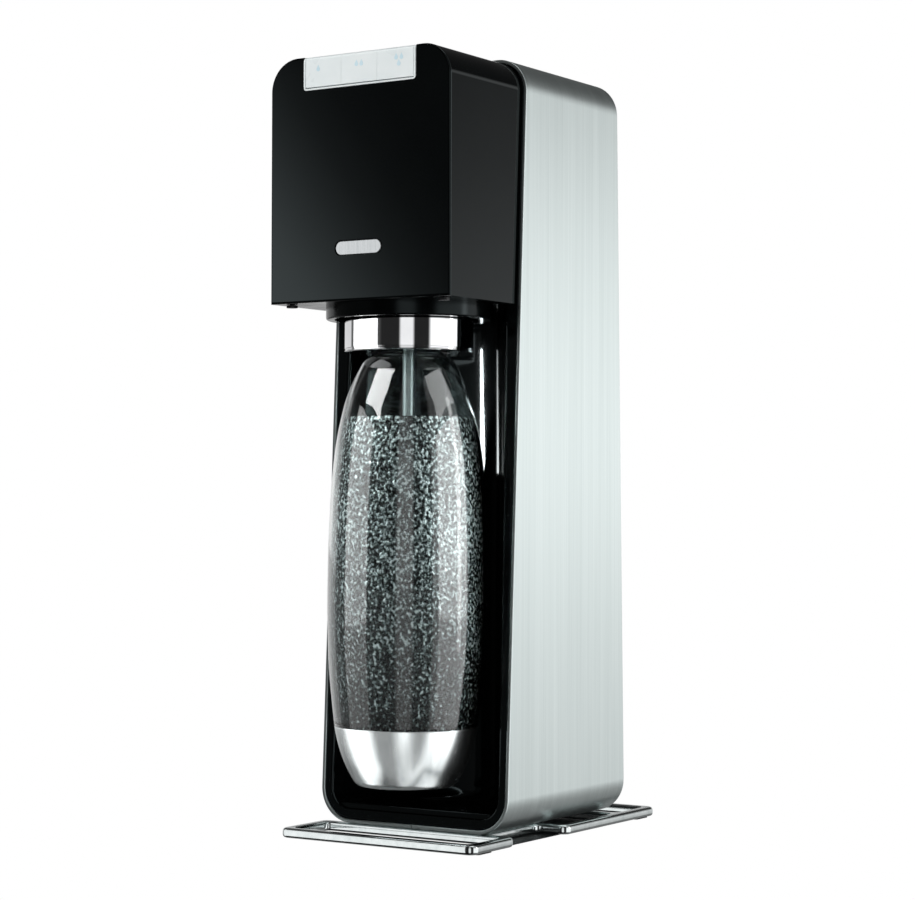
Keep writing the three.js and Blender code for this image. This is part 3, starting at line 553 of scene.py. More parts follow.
# ------------------------------------------------------------------ base frame and feet
def plate_with_holes(name, outer, holes, z0, z1, r):
    """flat bar frame with rounded edges, from filled 2D curves"""
    cu = bpy.data.curves.new(name, 'CURVE')
    cu.dimensions = '2D'
    cu.fill_mode = 'BOTH'
    for loop in [outer] + holes:
        sp = cu.splines.new('POLY')
        sp.points.add(len(loop) - 1)
        for pt, (x, y) in zip(sp.points, loop):
            pt.co = (x * MM, y * MM, 0, 1)
        sp.use_cyclic_u = True
    cu.bevel_depth = r * MM
    cu.bevel_resolution = 5
    cu.offset = -r * MM
    cu.extrude = ((z1 - z0) / 2 - r) * MM
    tmp = bpy.data.objects.new(name + "_curve", cu)
    scene.collection.objects.link(tmp)
    bpy.context.view_layer.update()
    me = bpy.data.meshes.new_from_object(tmp.evaluated_get(bpy.context.evaluated_depsgraph_get()))
    me.transform(Matrix.Translation((0, 0, (z0 + z1) / 2 * MM)))
    bpy.data.objects.remove(tmp)
    ob = bpy.data.objects.new(name, me)
    scene.collection.objects.link(ob)
    return ob


W, BF, BR, WY0, WY1, WH, BAR = 63.95, -90.05, 110.45, -46.7, 6.0, 45.0, 6.5
base_outer = outline([(-W, BF, 5.5), (W, BF, 5.5), (W, WY0, 5.5), (WH, WY0, 4), (WH, WY1, 4), (W, WY1, 5.5), (W, BR, 5.5), (-W, BR, 5.5),
                      (-W, WY1, 5.5), (-WH, WY1, 4), (-WH, WY0, 4), (-W, WY0, 5.5)], 10)
IN = 57.45
base_holes = [rect(-IN, IN, BF + BAR, WY0 - BAR, 2.5, 8), rect(-WH + BAR, WH - BAR, WY0, WY1, 2.5, 8), rect(-IN, IN, WY1 + BAR, 66.5, 2.5, 8), rect(-IN, IN, 73, BR - BAR, 2.5, 8)]
ob = plate_with_holes("steel_base", base_outer, base_holes, 0.42, 5.78, 1.9)
done(ob, "base", "stand", ["base_frame"], sharp=50)
for i, (x, y) in enumerate([(-60.75, -76), (60.75, -76), (-60.75, 96), (60.75, 96)], 1):
    ob = prism(f"foot_pad_{i}", rect(x - 2.1, x + 2.1, y - 7.0, y + 7.0, 2.0, 10), 'z', 0, 0.41, ra=0.15, seg=3)
    done(ob, "rubber", "stand", [f"rubber_foot_{i}"])


# ------------------------------------------------------------------ tower wrap: one bent sheet with rounded cut edges
def make_wrap():
    r, h, z0, z1, R = 0.55, TOWER_HALF, TOWER_Z0, TOWER_Z1, TOWER_R
    path = []      # (x, z, nx, nz) from the seam round to the seam

    def corner(cx, cz, a0, a1, seg=20):
        for k in range(seg + 1):
            t = math.radians(a0 + (a1 - a0) * k / seg)
            path.append((cx + R * math.cos(t), cz + R * math.sin(t), math.cos(t), math.sin(t)))

    def straight(xa, za, xb, zb, nx, nz, seg):
        for k in range(1, seg):
            t = k / seg
            path.append((xa + (xb - xa) * t, za + (zb - za) * t, nx, nz))
    path.append((0.2, z0, 0, -1))
    straight(0.2, z0, h - R, z0, 0, -1, 4)
    corner(h - R, z0 + R, -90, 0)
    straight(h, z0 + R, h, z1 - R, 1, 0, 10)
    corner(h - R, z1 - R, 0, 90)
    straight(h - R, z1, -h + R, z1, 0, 1, 6)
    corner(-h + R, z1 - R, 90, 180)
    straight(-h, z1 - R, -h, z0 + R, -1, 0, 10)
    corner(-h + R, z0 + R, 180, 270)
    straight(-h + R, z0, -0.2, z0, 0, -1, 4)
    path.append((-0.2, z0, 0, -1))
    T = WRAP_T
    q = [math.pi / 2 * k / 4 for k in range(5)]
    loops = []
    for x, z, nx, nz in path:
        sec = []      # (depth below the outer face, offset from an end plane, end)
        for t in q:
            sec.append((r - r * math.cos(t), r - r * math.sin(t), 'f'))        # outer front, from the face to the edge
        for t in q:
            sec.append((T - r + r * math.sin(t), r - r * math.cos(t), 'f'))
        for k in range(1, 6):
            sec.append((T, k / 6, 'm'))
        for t in q:
            sec.append((T - r + r * math.cos(t), -(r - r * math.sin(t)), 'b'))
        for t in q:
            sec.append((r - r * math.sin(t), -(r - r * math.cos(t)), 'b'))
        for k in range(5, 0, -1):
            sec.append((0, k / 6, 'm'))
        loop = []
        for d, o, e in sec:
            px, pz = x - nx * d, z - nz * d
            yf, yb = front_at(pz), rear_at(pz)
            y = yf + o if e == 'f' else (yb + o if e == 'b' else (yf + r) + (yb - yf - 2 * r) * o)
            loop.append((px, y, pz))
        loops.append(loop)
    return loft("brushed_wrap", loops)


done(make_wrap(), "brushed", "stand", ["outer_wrap"], sharp=60)


# ------------------------------------------------------------------ front liner with its niche
def niche_cutter():
    """space of the niche: round in plan, floor corner radius, and a softly rounded mouth"""
    lip, cr = 1.7, 12.0
    levels = [NICHE_FLOOR + cr * (1 - math.cos(math.pi / 2 * k / 10)) for k in range(11)] + [40, 80, 130, 180, 230, 280, 301]
    loops = []
    for z in levels:
        k = max(0.0, min(1.0, 1 - (z - NICHE_FLOOR) / cr))
        R = NICHE_R - cr + cr * math.sqrt(max(0.0, 1 - k * k))
        yf = front_at(z) + 0.6
        dy = yf - NICHE_Y
        th = math.acos(max(-1, min(1, dy / R)))
        back = lip / R
        n = 48
        pts = []
        arc = [(R * math.sin(-th + back + (2 * th - 2 * back) * i / n), NICHE_Y + R * math.cos(-th + back + (2 * th - 2 * back) * i / n)) for i in range(n + 1)]
        mx = R * math.sin(th)
        for s in (-1, 1):
            p0 = Vector((s * (mx + lip), yf)); p1 = Vector((s * mx, yf)); p2 = Vector(arc[0] if s < 0 else arc[-1])
            bz = []
            for i in range(6):
                t = i / 5
                bz.append(tuple(p0 * (1 - t) ** 2 + p1 * 2 * t * (1 - t) + p2 * t * t))
            if s < 0:
                left = [(-(mx + lip + 6), yf - 8), (-(mx + lip), yf - 8)] + bz[:-1]
            else:
                right = bz[:-1][::-1] + [(mx + lip, yf - 8), (mx + lip + 6, yf - 8)]
        left = left[1:]
        right = right[:-1]
        pts = left + arc + right
        loops.append([(x, y, z) for x, y in pts])
    return loft("niche_cutter", loops)


def make_liner():
    outer = rect(-59.7, 59.7, 8.4, 427.7, 17.2, 16)
    inner = rect(-57.7, 57.7, 10.4, 425.7, 15.2, 12)
    body = prism("front_liner_black", outer, 'y', lambda u, v: front_at(v) + 0.6, 4.0, ra=0.5)
    inside = prism("i", inner, 'y', lambda u, v: front_at(v) + 2.6, 12.0)
    boolean(body, inside)
    tub = prism("t", [(57.5 * math.sin(math.pi * 2 * i / 96), NICHE_Y + 57.5 * math.cos(math.pi * 2 * i / 96)) for i in range(96)], 'z', 11.7, 297.5)
    keep = prism("k", rect(-58, 58, 11.7, 297.5, 13, 8), 'y', lambda u, v: front_at(v) + 1.2, 3.5)
    boolean(tub, keep, 'INTERSECT')
    boolean(body, tub, 'UNION')
    boolean(body, niche_cutter())
    win = prism("w", rect(-52, 52, 296, 419, 4, 4), 'y', -70, -22)
    boolean(body, win)
    return body


done(make_liner(), "liner", "stand", ["front_liner"], sharp=32)


# ------------------------------------------------------------------ drip tray
def make_tray():
    yf = -50.6
    n = 72
    th = math.acos((yf - NICHE_Y) / (NICHE_R - 0.6))
    pts = [((NICHE_R - 0.6) * math.sin(-th + 2 * th * i / n), NICHE_Y + (NICHE_R - 0.6) * math.cos(-th + 2 * th * i / n)) for i in range(n + 1)]
    half = 49.5
    pts = [(max(-half, min(half, x)), y) for x, y in pts]
    clean = [pts[0]]
    for p in pts[1:]:
        if (Vector(p) - Vector(clean[-1])).length > 0.2:
            clean.append(p)
    base = prism("ribbed_tray", clean, 'z', 14.1, 15.4)
    rim_o = prism("r", clean, 'z', 14.4, 17.0, rb=0.5)
    rim_i = prism("ri", inset(clean, 1.9), 'z', 10, 20)
    boolean(rim_o, rim_i)
    boolean(base, rim_o, 'UNION')
    x = -45.0
    while x <= 45.1:
        ye = NICHE_Y + math.sqrt((NICHE_R - 2) ** 2 - x * x)
        rib = prism("rib", outline([(yf + 1, 15.0), (ye, 15.0), (ye, 16.8, 0.8), (yf + 1, 16.8, 0.8)], 3), 'x', x - 0.85, x + 0.85, ra=0.35, rb=0.35, seg=2)
        boolean(base, rib, 'UNION')
        x += 3.75
    return base


done(make_tray(), "black", "drip_tray", ["drip_tray"], sharp=30)


# ------------------------------------------------------------------ head
def head_outline(half, z0, z1, r, seg=16):
    return outline([(-half, z0), (half, z0), (half, z1, r), (-half, z1, r)], seg)


def make_head():
    body = prism("head_shell", head_outline(HEAD_HALF, HEAD_Z0, HEAD_Z1, HEAD_R, 20), 'y', HEAD_FRONT, lambda u, v: front_at(v) + 0.3, ra=1.3, seg=5)
    inner = prism("i", head_outline(56.5, 285, 425.5, 15, 14), 'y', -103.5, 10)
    boolean(body, inner)
    cut = prism("c", outline([(-37.2, 409.3, 2.0), (37.2, 409.3, 2.0), (37.2, 440), (-37.2, 440)], 6), 'y', -115, -83.8)
    boolean(body, cut)
    pill = prism("p", rect(-15.6, 15.6, 322.5 - 4.3, 322.5 + 4.3, 4.29, 12), 'y', -110, -104.9)
    boolean(body, pill)
    return body


done(make_head(), "black", "stand", ["head_housing"], sharp=32)
ob = prism("blank_badge", rect(-14.9, 14.9, 322.5 - 3.75, 322.5 + 3.75, 3.74, 14), 'y', -105.95, -105.1, ra=0.45, seg=4)
done(ob, "badge", "stand", ["front_badge"], sharp=50)


def stretched(r, n=96):
    """circle about the holder axis, stretched 4 mm to the front"""
    pts = []
    for i in range(n):
        t = 2 * math.pi * i / n
        y = r * math.sin(t)
        pts.append((r * math.cos(t), -57 + y - (4 if y < 0 else 0)))
    return pts


def make_cover():
    plate = prism("head_underside", [(-56.2, -103.2), (56.2, -103.2), (56.2, -41.2), (-56.2, -41.2)], 'z', 294.0, 296.5)
    disc = prism("d", [(55 * math.cos(math.pi * k / 48), -60 + 55 * math.sin(math.pi * k / 48)) for k in range(49)], 'z', 294.0, 296.5)
    boolean(plate, disc, 'UNION')
    skirt = prism("s", [(46 * math.cos(2 * math.pi * k / 96), -57 + 46 * math.sin(2 * math.pi * k / 96)) for k in range(96)], 'z', 286.0, 294.6, ra=1.2, seg=4)
    boolean(plate, skirt, 'UNION')
    boolean(plate, prism("h", stretched(39), 'z', 280, 300))
    return plate


done(make_cover(), "cover", "stand", ["head_bottom_cover"], sharp=32)


# control strip: bezel with a soft rim, three keys that wrap over the edge
def ell(y0, y1, z0, z1, t, r, seg=6):
    return outline([(y0, z0), (y0 + t, z0), (y0 + t, z1 - t), (y1, z1 - t), (y1, z1), (y0, z1, r)], seg)


def make_bezel():
    body = prism("key_bezel", ell(-105.95, -84.0, 409.6, 427.95, 3.2, 2.4), 'x', -36.95, 36.95, ra=0.5, rb=0.5, seg=3)
    win = prism("w", outline([(-110, 410.5), (-85.6, 410.5), (-85.6, 440), (-110, 440)]), 'x', -35.6, 35.6)
    keep = prism("k", outline([(-103.1, 405), (-80, 405), (-80, 425.1), (-103.1, 425.1)]), 'x', -36, 36)
    boolean(win, keep)
    boolean(body, win)
    soft = prism("kk", outline([(-36.95, 409.6, 2.0), (36.95, 409.6, 2.0), (36.95, 440), (-36.95, 440)], 8), 'y', -112, -80)
    boolean(body, soft, 'INTERSECT')
    return body


done(make_bezel(), "pearl", "stand", ["control_bezel"], sharp=32, bevel_mm=0.25, bevel_seg=2, bevel_angle=60)

for i, nm in enumerate(("left", "middle", "right")):
    x0 = -35.35 + i * 23.6
    x1 = x0 + 23.54
    ob = prism(f"key_{nm}", ell(-105.9, -86.35, 411.15, 427.9, 2.0, 2.2), 'x', x0, x1, ra=0.07, rb=0.07, seg=2)
    done(ob, "pearl", f"button_{nm}", [f"button_{nm}"], sharp=40)


# drop-shaped marks, one, two and three drops for the fizz level, moulded 0.05 mm proud of the keys
def drop_outline(cx, cz, r):
    pts = [(cx + r * math.sin(t), cz - r * math.cos(t)) for t in [math.radians(-132 + 264 * k / 20) for k in range(21)]]
    return pts + [(cx, cz + 2.1 * r)]


for nm, c, spots in (("left", -27.0, [(0, 420.6)]), ("middle", 0.0, [(-1.6, 421.0), (1.6, 421.0)]), ("right", 26.0, [(-1.7, 422.0), (1.7, 422.0), (0, 418.6)])):
    for k, (dx, z) in enumerate(spots, 1):
        ob = prism(f"mark_{nm}_{k}", drop_outline(c + dx, z, 1.15), 'y', -105.96, -105.6, ra=0.02, seg=1)
        done(ob, "mark", f"button_{nm}", sharp=40)

# ------------------------------------------------------------------ bottle holder
RING = [(32.8, -14.0), (35.0, -14.0, 0.5), (35.5, -14.5, 0.3), (35.5, -29.9, 0.2), (35.15, -30.2, 0.2), (35.15, -30.8, 0.2), (35.5, -31.1, 0.3), (35.5, -31.5, 0.4), (34.4, -32.0, 0.5), (22.5, -32.0, 0.5), (22.5, -30.3), (32.8, -30.3)]
done(lathe("chrome_collar", outline([(a[0], a[1], a[2] if len(a) > 2 else 0) for a in RING], 4), 160, HOLD), "chrome", "holder", ["chrome_ring"], sharp=40)
BLOCK = [(0, 18), (27, 18, 1.5), (30, 15, 1.5), (30, -12.4), (32.4, -14.4, 0.6), (32.4, -29.9), (18.6, -29.9), (18.6, -4.7), (0, -4.7)]
done(lathe("holder_core", fillet_open(BLOCK, 4), 128, HOLD), "satin", "holder", ["holder_block"], sharp=35)
done(lathe("dip_tube", outline([(1.6, -81), (3.4, -81, 0.2), (3.4, 15), (1.6, 15)], 3), 48, HOLD), "tube", "holder", ["carbonation_tube"], sharp=50)
done(lathe("dip_nozzle", outline([(0.8, -87), (2.4, -87, 0.4), (3.9, -85, 0.8), (3.9, -81.3, 0.3), (0.8, -81.3)], 3), 48, HOLD), "tube", "holder", ["tube_nozzle"], sharp=50)

# ------------------------------------------------------------------ bottle
P = [(2.5, 27.0), (4.5, 28.4), (9.6, 31.3), (15.5, 34.1), (22, 36.4), (28.6, 38.2), (35, 39.4), (41.7, 40.2), (54.8, 41.6), (67.8, 42.7), (82, 43.4), (104, 43.9),
     (131.5, 43.6), (150, 43.0), (165, 42.3), (180, 41.0), (190, 39.8), (198, 38.4), (206, 36.7), (214.2, 34.6), (222, 31.7), (229, 28.6), (235, 25.2), (239, 20.5), (241, 18), (243, 15.5), (245, 14), (247, 14.0)]
PROF = smooth_profile(P, 5)


def radius(h):
    for (r1, h1), (r2, h2) in zip(PROF, PROF[1:]):
        if h1 <= h <= h2:
            return r1 + (r2 - r1) * (h - h1) / max(h2 - h1, 1e-9)
    return PROF[-1][0]


def make_bottle():
    cup, T = 35.0, 1.1
    outer = [(0, 4.7), (20, 4.7), (24, 4.9)]
    outer += [(radius(h) - 1.45, h) for h in (8.2, 9.6, 12, 15.5, 19, 22, 25, 28.6, 32, cup + 0.1)]
    outer += [(radius(cup + 0.1) - 0.25, cup + 0.15), (radius(cup + 0.4), cup + 0.45)]
    outer += [(r, h) for r, h in PROF if h > 36]
    outer += [(14, 249), (14.3, 249.3), (16.7, 249.6), (17, 249.9), (17, 251.3), (16.7, 251.6), (14.3, 251.9), (14, 252.2)]
    for k in range(3):
        z = 254.5 + 3 * k
        outer += [(14, z - 0.9), (14.7, z - 0.3), (14.7, z + 0.3), (14, z + 0.9)]
    outer += [(14, 263.2), (13.8, 263.8), (13.3, 264.0)]
    inner = [(12.9, 264.0), (12.6, 263.6), (12.6, 247)]
    inner += [(r - T - 0.15, h - 0.3) for r, h in PROF[::-1] if 37 < h < 246]
    inner += [(radius(h) - 1.45 - T, h) for h in (32, 28.6, 25, 22, 19, 15.5, 12, 9.8)] + [(24, 7.0), (20, 5.8), (0, 5.8)]
    return lathe("pet_bottle", outer + inner, 144, HOLD @ Matrix.Translation((0, 0, -DROP0)))


BOT = HOLD @ Matrix.Translation((0, 0, -DROP0))
done(make_bottle(), "pet", "bottle", ["bottle_shell"], sharp=50, weighted=False)
cup_o = [(r, h) for r, h in PROF if 4.4 < h <= 34.3]
CUP = [(0, 3.4), (22, 3.4), (23.2, 3.0), (24, 2.5), (25.2, 2.5), (26.6, 2.9), (27.6, 3.7)] + cup_o + [(radius(34.6), 34.6), (radius(35) - 0.2, 35.0), (radius(35) - 1.0, 35.0), (radius(34.6) - 1.15, 34.6)]
CUP += [(radius(h) - 1.15, h) for h in (32, 28, 22, 16, 10, 8)] + [(24.6, 4.5), (0, 4.5)]
done(lathe("steel_foot_cup", CUP, 144, BOT), "steel_cup", "bottle", ["base_cup"], sharp=45)
wat = [(0, 6.1), (20, 6.3), (23, 7.4)] + [(radius(h) - 1.45 - 1.1 - 0.25, h) for h in (9.8, 12, 15.5, 19, 22, 25, 28.6, 33, 37)]
wat += [(r - 1.1 - 0.6, h) for r, h in PROF if 40 < h < 203.5] + [(radius(204) - 2.0, 204.0), (4.7, 204.0), (4.7, 181), (0, 181)]
done(lathe("sparkling_water", wat, 144, BOT), "water", "bottle", ["water_fill"], sharp=50, weighted=False)

# ------------------------------------------------------------------ gas cylinder; the remaining inner pieces get their materials after the rear cover
GC = [(0, 34), (10, 31.6), (18, 30.2), (25.5, 30, 1), (30, 33.5, 3), (30, 290, 8), (27.5, 303, 8), (20.5, 314.5, 6), (13, 321.5, 3), (13, 338, 0.5), (8, 338, 0.3), (8, 318, 2), (24.5, 300, 6), (27, 288, 6), (27, 38, 3), (0, 38)]
done(lathe("gas_bottle", fillet_open(GC, 6), 96, x=0, y=31), "enamel", "gas_cylinder", ["gas_cylinder"], sharp=35)



# ------------------------------------------------------------------ rear cover: moulded plate with softened edges, slots and finger grip
def make_rear():
    body = prism("moulded_rear_cover", rect(-59.65, 59.65, 8.45, 427.65, 17.15, 16), 'y', lambda u, v: rear_at(v) - 11, lambda u, v: rear_at(v) - 0.6, rb=0.9, seg=4)
    inner = prism("i", rect(-57.7, 57.7, 10.4, 425.7, 15.2, 12), 'y', lambda u, v: rear_at(v) - 20, lambda u, v: rear_at(v) - 3.1)
    boolean(body, inner)
    boolean(body, prism("f", rect(-16, 16, 401, 409, 3.95, 10), 'y', 40, 90))
    boolean(body, prism("p", rect(-30.5, -17.5, 18.5, 31.5, 0.8, 3), 'y', 40, 90))
    for i in range(6):
        boolean(body, prism("v", rect(-24, 24, 352 + i * 7, 354.6 + i * 7, 1.25, 6), 'y', 40, 90))
    return body


done(make_rear(), "satin", "rear_cover", ["rear_cover"], sharp=32)

KEEP = {"chassis": "zinc", "cylinder_valve": "brass", "valve_pin": "steel", "cylinder_seal": "rubber", "valve_socket": "zinc", "gas_outlet_fitting": "brass", "plunger": "steel",
        "relief_valve": "brass", "actuator_lever": "nylon", "lever_pin": "steel", "lever_bracket": "zinc", "drive_pinion": "brass", "motor_shaft": "steel", "drive_motor": "can",
        "motor_bracket": "zinc", "cover_screw_1": "satin", "cover_screw_2": "satin", "control_board": "pcb", "holder_yoke": "zinc", "grip_collar": "rubber", "bottle_seal": "rubber",
        "tube_nut": "brass", "hinge_pin_right": "steel", "hinge_pin_left": "steel", "gas_hose": "rubber", "swivel_elbow": "brass", "power_inlet": "satin", "wire_loom": "rubber",
        "base_screw_1": "steel", "base_screw_2": "steel", "base_screw_3": "steel", "base_screw_4": "steel"}
for name, mat in KEEP.items():
    o = N[name]
    for i in range(max(1, len(o.material_slots))):
        if not o.material_slots:
            o.data.materials.append(M[mat])
        else:
            o.material_slots[i].material = M[mat]

# ------------------------------------------------------------------ studio
CAM_AZ = 33.13       # azimuth of the camera from the front, towards +X


def ball(az_deg, elev_deg):
    """unit vector; azimuth from the camera's side, +X positive"""
    a, e = math.radians(CAM_AZ + az_deg), math.radians(elev_deg)
    return Vector((math.sin(a) * math.cos(e), -math.cos(a) * math.cos(e), math.sin(e)))


def studio_world():
    w = bpy.data.worlds.new("studio")
    scene.world = w
    w.use_nodes = True
    t = w.node_tree
    t.nodes.clear()
    out = t.nodes.new('ShaderNodeOutputWorld')
    lp = t.nodes.new('ShaderNodeLightPath')
    mix = t.nodes.new('ShaderNodeMixShader')
    white = t.nodes.new('ShaderNodeBackground')
    white.inputs['Color'].default_value = (1, 1, 1, 1)
    env = t.nodes.new('ShaderNodeBackground')
    tc = t.nodes.new('ShaderNodeTexCoord')
    sep = t.nodes.new('ShaderNodeSeparateXYZ')
    t.links.new(tc.outputs['Generated'], sep.inputs[0])

    def mth(op, a, b=None, clamp=False):
        nd = t.nodes.new('ShaderNodeMath')
        nd.operation = op
        nd.use_clamp = clamp
        for i, v in enumerate((a, b)):
            if v is None: continue
            if isinstance(v, (int, float)): nd.inputs[i].default_value = v
            else: t.links.new(v, nd.inputs[i])
        return nd.outputs[0]

    def ramp(fac, stops, interp='LINEAR', scale=1.0):
        nd = t.nodes.new('ShaderNodeValToRGB')
        nd.color_ramp.interpolation = interp
        el = nd.color_ramp.elements
        while len(el) < len(stops): el.new(0.5)
        for e, (p, v) in zip(el, stops):
            e.position = p
            e.color = (v / scale, v / scale, v / scale, 1)
        t.links.new(fac, nd.inputs['Fac'])
        return mth('MULTIPLY', nd.outputs['Color'], scale) if scale != 1 else nd.outputs['Color']
    # azimuth about Z from the camera's side, -180..180 degrees as 0..1
    az = mth('ARCTAN2', sep.outputs['X'], mth('MULTIPLY', sep.outputs['Y'], -1))
    az = mth('WRAP', mth('SUBTRACT', az, math.radians(CAM_AZ)), math.pi)
    az.node.inputs[2].default_value = -math.pi
    az = mth('ADD', mth('DIVIDE', az, 2 * math.pi), 0.5)
    at = lambda d: (d + 180) / 360
    up = lambda d: 0.5 + 0.5 * math.sin(math.radians(d))
    low = ramp(az, [(at(d), v) for d, v in AZ_LOW], scale=4)
    ele = mth('ADD', mth('MULTIPLY', sep.outputs['Z'], 0.5), 0.5)
    left = ramp(ele, [(up(d), v) for d, v in EL_LEFT], scale=4)
    right = ramp(ele, [(up(d), v) for d, v in EL_RIGHT], scale=4)
    back = ramp(ele, [(up(d), v) for d, v in EL_BACK], scale=4)
    wr = ramp(az, [(at(-180), 0), (at(-5), 0), (at(5), 1), (at(100), 1), (at(108), 0), (at(180), 0)])
    wb = ramp(az, [(at(-180), 1), (at(-135), 1), (at(-120), 0), (at(100), 0), (at(108), 1), (at(180), 1)])
    wl = mth('SUBTRACT', mth('SUBTRACT', 1, wr), wb)
    vert = mth('ADD', mth('ADD', mth('MULTIPLY', wl, left), mth('MULTIPLY', wr, right)), mth('MULTIPLY', wb, back))
    t.links.new(mth('MULTIPLY', low, vert), env.inputs['Strength'])
    env.inputs['Color'].default_value = (1, 1, 1, 1)
    t.links.new(lp.outputs['Is Camera Ray'], mix.inputs[0])
    t.links.new(env.outputs[0], mix.inputs[1])
    t.links.new(white.outputs[0], mix.inputs[2])
    t.links.new(mix.outputs[0], out.inputs['Surface'])


# brightness round the horizon: degrees from the camera's side, value
AZ_LOW = [(-180, .85), (-128, .85), (-124, .2), (-119, .1), (-56, .1), (-49, .02), (-17, .02), (-13, 1.0), (7, 1.0),
          (11, .02), (36, .02), (41, 1.3), (102, 1.3), (109, .85), (180, .85)]
# how that goes on with height, to the left, to the right and behind
EL_LEFT = [(-90, .05), (-40, .08), (-22, 1), (12, 1), (20, .5), (60, .5), (75, 1.5)]
EL_RIGHT = [(-90, .05), (-40, .08), (-22, 1), (12, 1), (20, .4), (60, .3), (75, 1.5)]
EL_BACK = [(-90, .2), (-16, .25), (-6, .85), (-2, 1), (3, 1), (8, .45), (11, .25), (13.5, .9), (15.5, .9), (19, .06), (60, .06), (78, .9)]


def area(name, az_deg, elev_deg, dist, sx, sy, radiance, only=None, centre=(0, 0, 0.21)):
    L = bpy.data.lights.new(name, 'AREA')
    L.shape = 'RECTANGLE'
    L.size, L.size_y = sx, sy
    L.energy = radiance * math.pi * sx * sy
    o = bpy.data.objects.new(name, L)
    scene.collection.objects.link(o)
    d = ball(az_deg, elev_deg)
    o.location = Vector(centre) + d * dist
    o.rotation_euler = (-d).to_track_quat('-Z', 'Y').to_euler()
    if only:
        c = bpy.data.collections.new(name + "_lit")
        for ob in only:
            c.objects.link(ob)
        o.light_linking.receiver_collection = c
    return o


def floor():
    fm = Mat("pale_floor").set(Roughness=0.9, Metallic=0.0)
    fm.b.inputs['Base Color'].default_value = (0.93, 0.93, 0.93, 1)
    fm.b.inputs['Specular IOR Level'].default_value = 0.1
    me = bpy.data.meshes.new("floor")
    s = 12.0
    me.from_pydata([(-s, -s, 0), (s, -s, 0), (s, s, 0), (-s, s, 0)], [], [(0, 1, 2, 3)])
    fl = bpy.data.objects.new("floor", me)
    scene.collection.objects.link(fl)
    me.materials.append(fm.m)
    fl.visible_camera = False
    fl.visible_glossy = False
    fl.visible_shadow = False


def shadow_card():
    """black plane on the worktop under the tower, where no light reaches"""
    me = bpy.data.meshes.new("shadow_card")
    me.from_pydata([(-0.058, -0.046, 0.0001), (0.058, -0.046, 0.0001), (0.058, 0.072, 0.0001), (-0.058, 0.072, 0.0001)], [], [(0, 1, 2, 3)])
    ob = bpy.data.objects.new("shadow_card", me)
    scene.collection.objects.link(ob)
    m = mat_satin_black("shadow", 2000, 0.1)
    me.materials.append(m)
    ob.visible_shadow = False


def front_gradient(head):
    """soft light seen only in the glossy front: bright at the lower left, fading to the upper right"""
    x0, x1, z0, z1 = FG
    L = bpy.data.lights.new("front_gradient", 'AREA')
    L.shape = 'RECTANGLE'
    L.size, L.size_y = x1 - x0, z1 - z0
    L.energy = math.pi * L.size * L.size_y
    o = bpy.data.objects.new("front_gradient", L)
    scene.collection.objects.link(o)
    o.location = ((x0 + x1) / 2, FG_Y, (z0 + z1) / 2)
    o.rotation_euler = (math.pi / 2, 0, 0)
    L.use_nodes = True
    t = L.node_tree
    em = [n for n in t.nodes if n.type == 'EMISSION'][0]
    geo = t.nodes.new('ShaderNodeNewGeometry')
    sep = t.nodes.new('ShaderNodeSeparateXYZ')
    t.links.new(geo.outputs['Parametric'], sep.inputs[0])

    def mul(sock, k, add):
        nd = t.nodes.new('ShaderNodeMath')
        nd.operation = 'MULTIPLY_ADD'
        t.links.new(sock, nd.inputs[0])
        nd.inputs[1].default_value, nd.inputs[2].default_value = k, add
        return nd.outputs[0]
    a = t.nodes.new('ShaderNodeMath')
    a.operation = 'ADD'
    t.links.new(mul(sep.outputs['X'], FU[0], FU[1]), a.inputs[0])
    t.links.new(mul(sep.outputs['Y'], FV[0], FV[1]), a.inputs[1])
    ramp = t.nodes.new('ShaderNodeValToRGB')
    el = ramp.color_ramp.elements
    st = FG_STOPS
    while len(el) < len(st): el.new(0.5)
    for e, (q, v) in zip(el, st):
        e.position = q
        e.color = (v / 6, v / 6, v / 6, 1)
    t.links.new(a.outputs[0], ramp.inputs['Fac'])
    t.links.new(mul(ramp.outputs['Color'], 6.0, 0.0), em.inputs['Strength'])
    c = bpy.data.collections.new("front_gradient_lit")
    for ob in head:
        c.objects.link(ob)
    o.light_linking.receiver_collection = c
    return o


OBJ = bpy.data.objects
# mirrored picture of the head front in a plane at y = FG_Y: x from, x to, z from, z to
FG_Y = -1.106
FG = (-0.909, -0.5985, 0.3158, 0.6573)
FU, FV = (0.808, -0.208), (0.692, -0.162)
FG_STOPS = [(0.0, 1.8), (0.15, 1.5), (0.28, 0.95), (0.4, 0.52), (0.52, 0.22), (0.66, 0.06), (0.82, 0.0), (0.94, 0.0)]
studio_world()
floor()
shadow_card()
WRAP = OBJ["brushed_wrap"]
KEYS = [OBJ[n] for n in ("key_bezel", "key_left", "key_middle", "key_right")] + [o for o in OBJ if o.name.startswith("mark_")]
BRIGHT = [OBJ[n] for n in ("chrome_collar", "steel_foot_cup")] + KEYS
front_gradient([OBJ["head_shell"]])
area("wrap_side", 122, 5.0, 1.6, 2.0, 0.46, 0.40, [WRAP])
area("wrap_back", 172, 5.0, 1.6, 1.6, 0.46, 0.40, [WRAP])
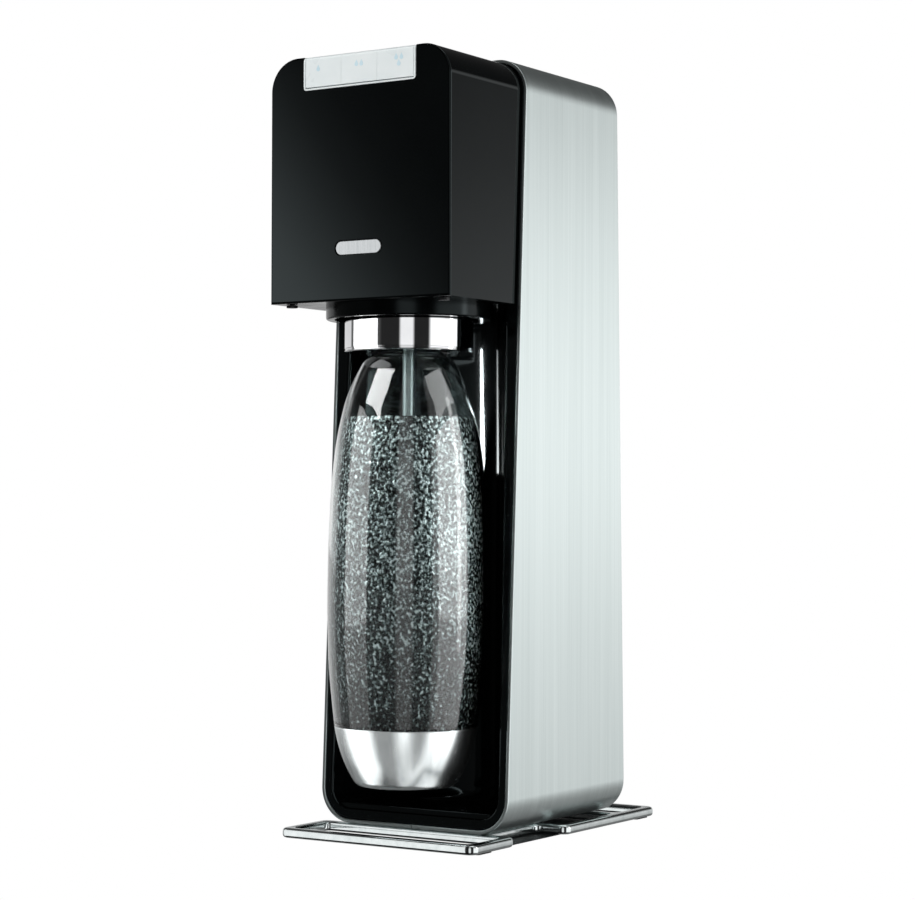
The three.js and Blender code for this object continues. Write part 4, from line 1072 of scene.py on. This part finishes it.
area("left_wall", -85, 0, 1.6, 1.77, 4.4, 1.9, BRIGHT)
area("strip_left", -92, 10, 1.6, 0.22, 1.2, 3.0, BRIGHT)
area("strip_right", 80, 10, 1.6, 0.20, 1.2, 3.0)
area("soft_top", -80, 52, 1.7, 0.6, 0.5, 2.5, BRIGHT)
area("base_left", -85, 0, 1.6, 1.77, 2.4, 1.05, [OBJ["steel_base"], OBJ["blank_badge"]])
CUPS = [OBJ["steel_foot_cup"]]
area("cup_left", -33, -10, 1.6, 0.92, 4.0, 0.34, CUPS)
area("cup_right", 24, -10, 1.6, 0.75, 4.0, 0.30, CUPS)
PETS = [OBJ["pet_bottle"], OBJ["sparkling_water"]]
area("shoulder_left", -67, 40, 1.6, 0.92, 0.86, 9.0, PETS)
area("shoulder_right", 74, 40, 1.6, 1.30, 0.86, 2.2, PETS)
for k, low in enumerate((-2, -8, -14, -20, -26, -32)):
    mid, tall = (22 + low) / 2, 3.2 * math.tan(math.radians((22 - low) / 2))
    area(f"body_left_{k}", -78, mid, 1.6, 1.16, tall, 0.42, PETS)
    area(f"body_right_{k}", 70, mid, 1.6, 1.50, tall, 0.52, PETS)
area("cup_white_mid", -3, -42, 1.6, 0.55, 2.0, 0.9, CUPS)
area("cup_white_right", 71, -42, 1.6, 1.80, 2.0, 1.2, CUPS)
# thin upright light just inside the niche's left edge, seen only as the bright line in its right wall
strip = area("niche_strip", 0, 0, 1.6, 0.0070, 0.074, 20.0, [OBJ["front_liner_black"]])
strip.location = (-0.0485, -0.0345, 0.240)
strip.rotation_euler = Vector((65, 27, 5)).to_track_quat('-Z', 'Y').to_euler()
strip.visible_camera = False
strip.data.spread = math.radians(50)
area("panel_fill", -33, 12, 1.6, 1.0, 1.0, 1.3, KEYS).visible_glossy = False
scene.view_settings.view_transform = 'Standard'
scene.view_settings.look = 'None'
scene.cycles.max_bounces = 14
scene.cycles.transmission_bounces = 14
scene.cycles.transparent_max_bounces = 16

bpy.context.view_layer.update()
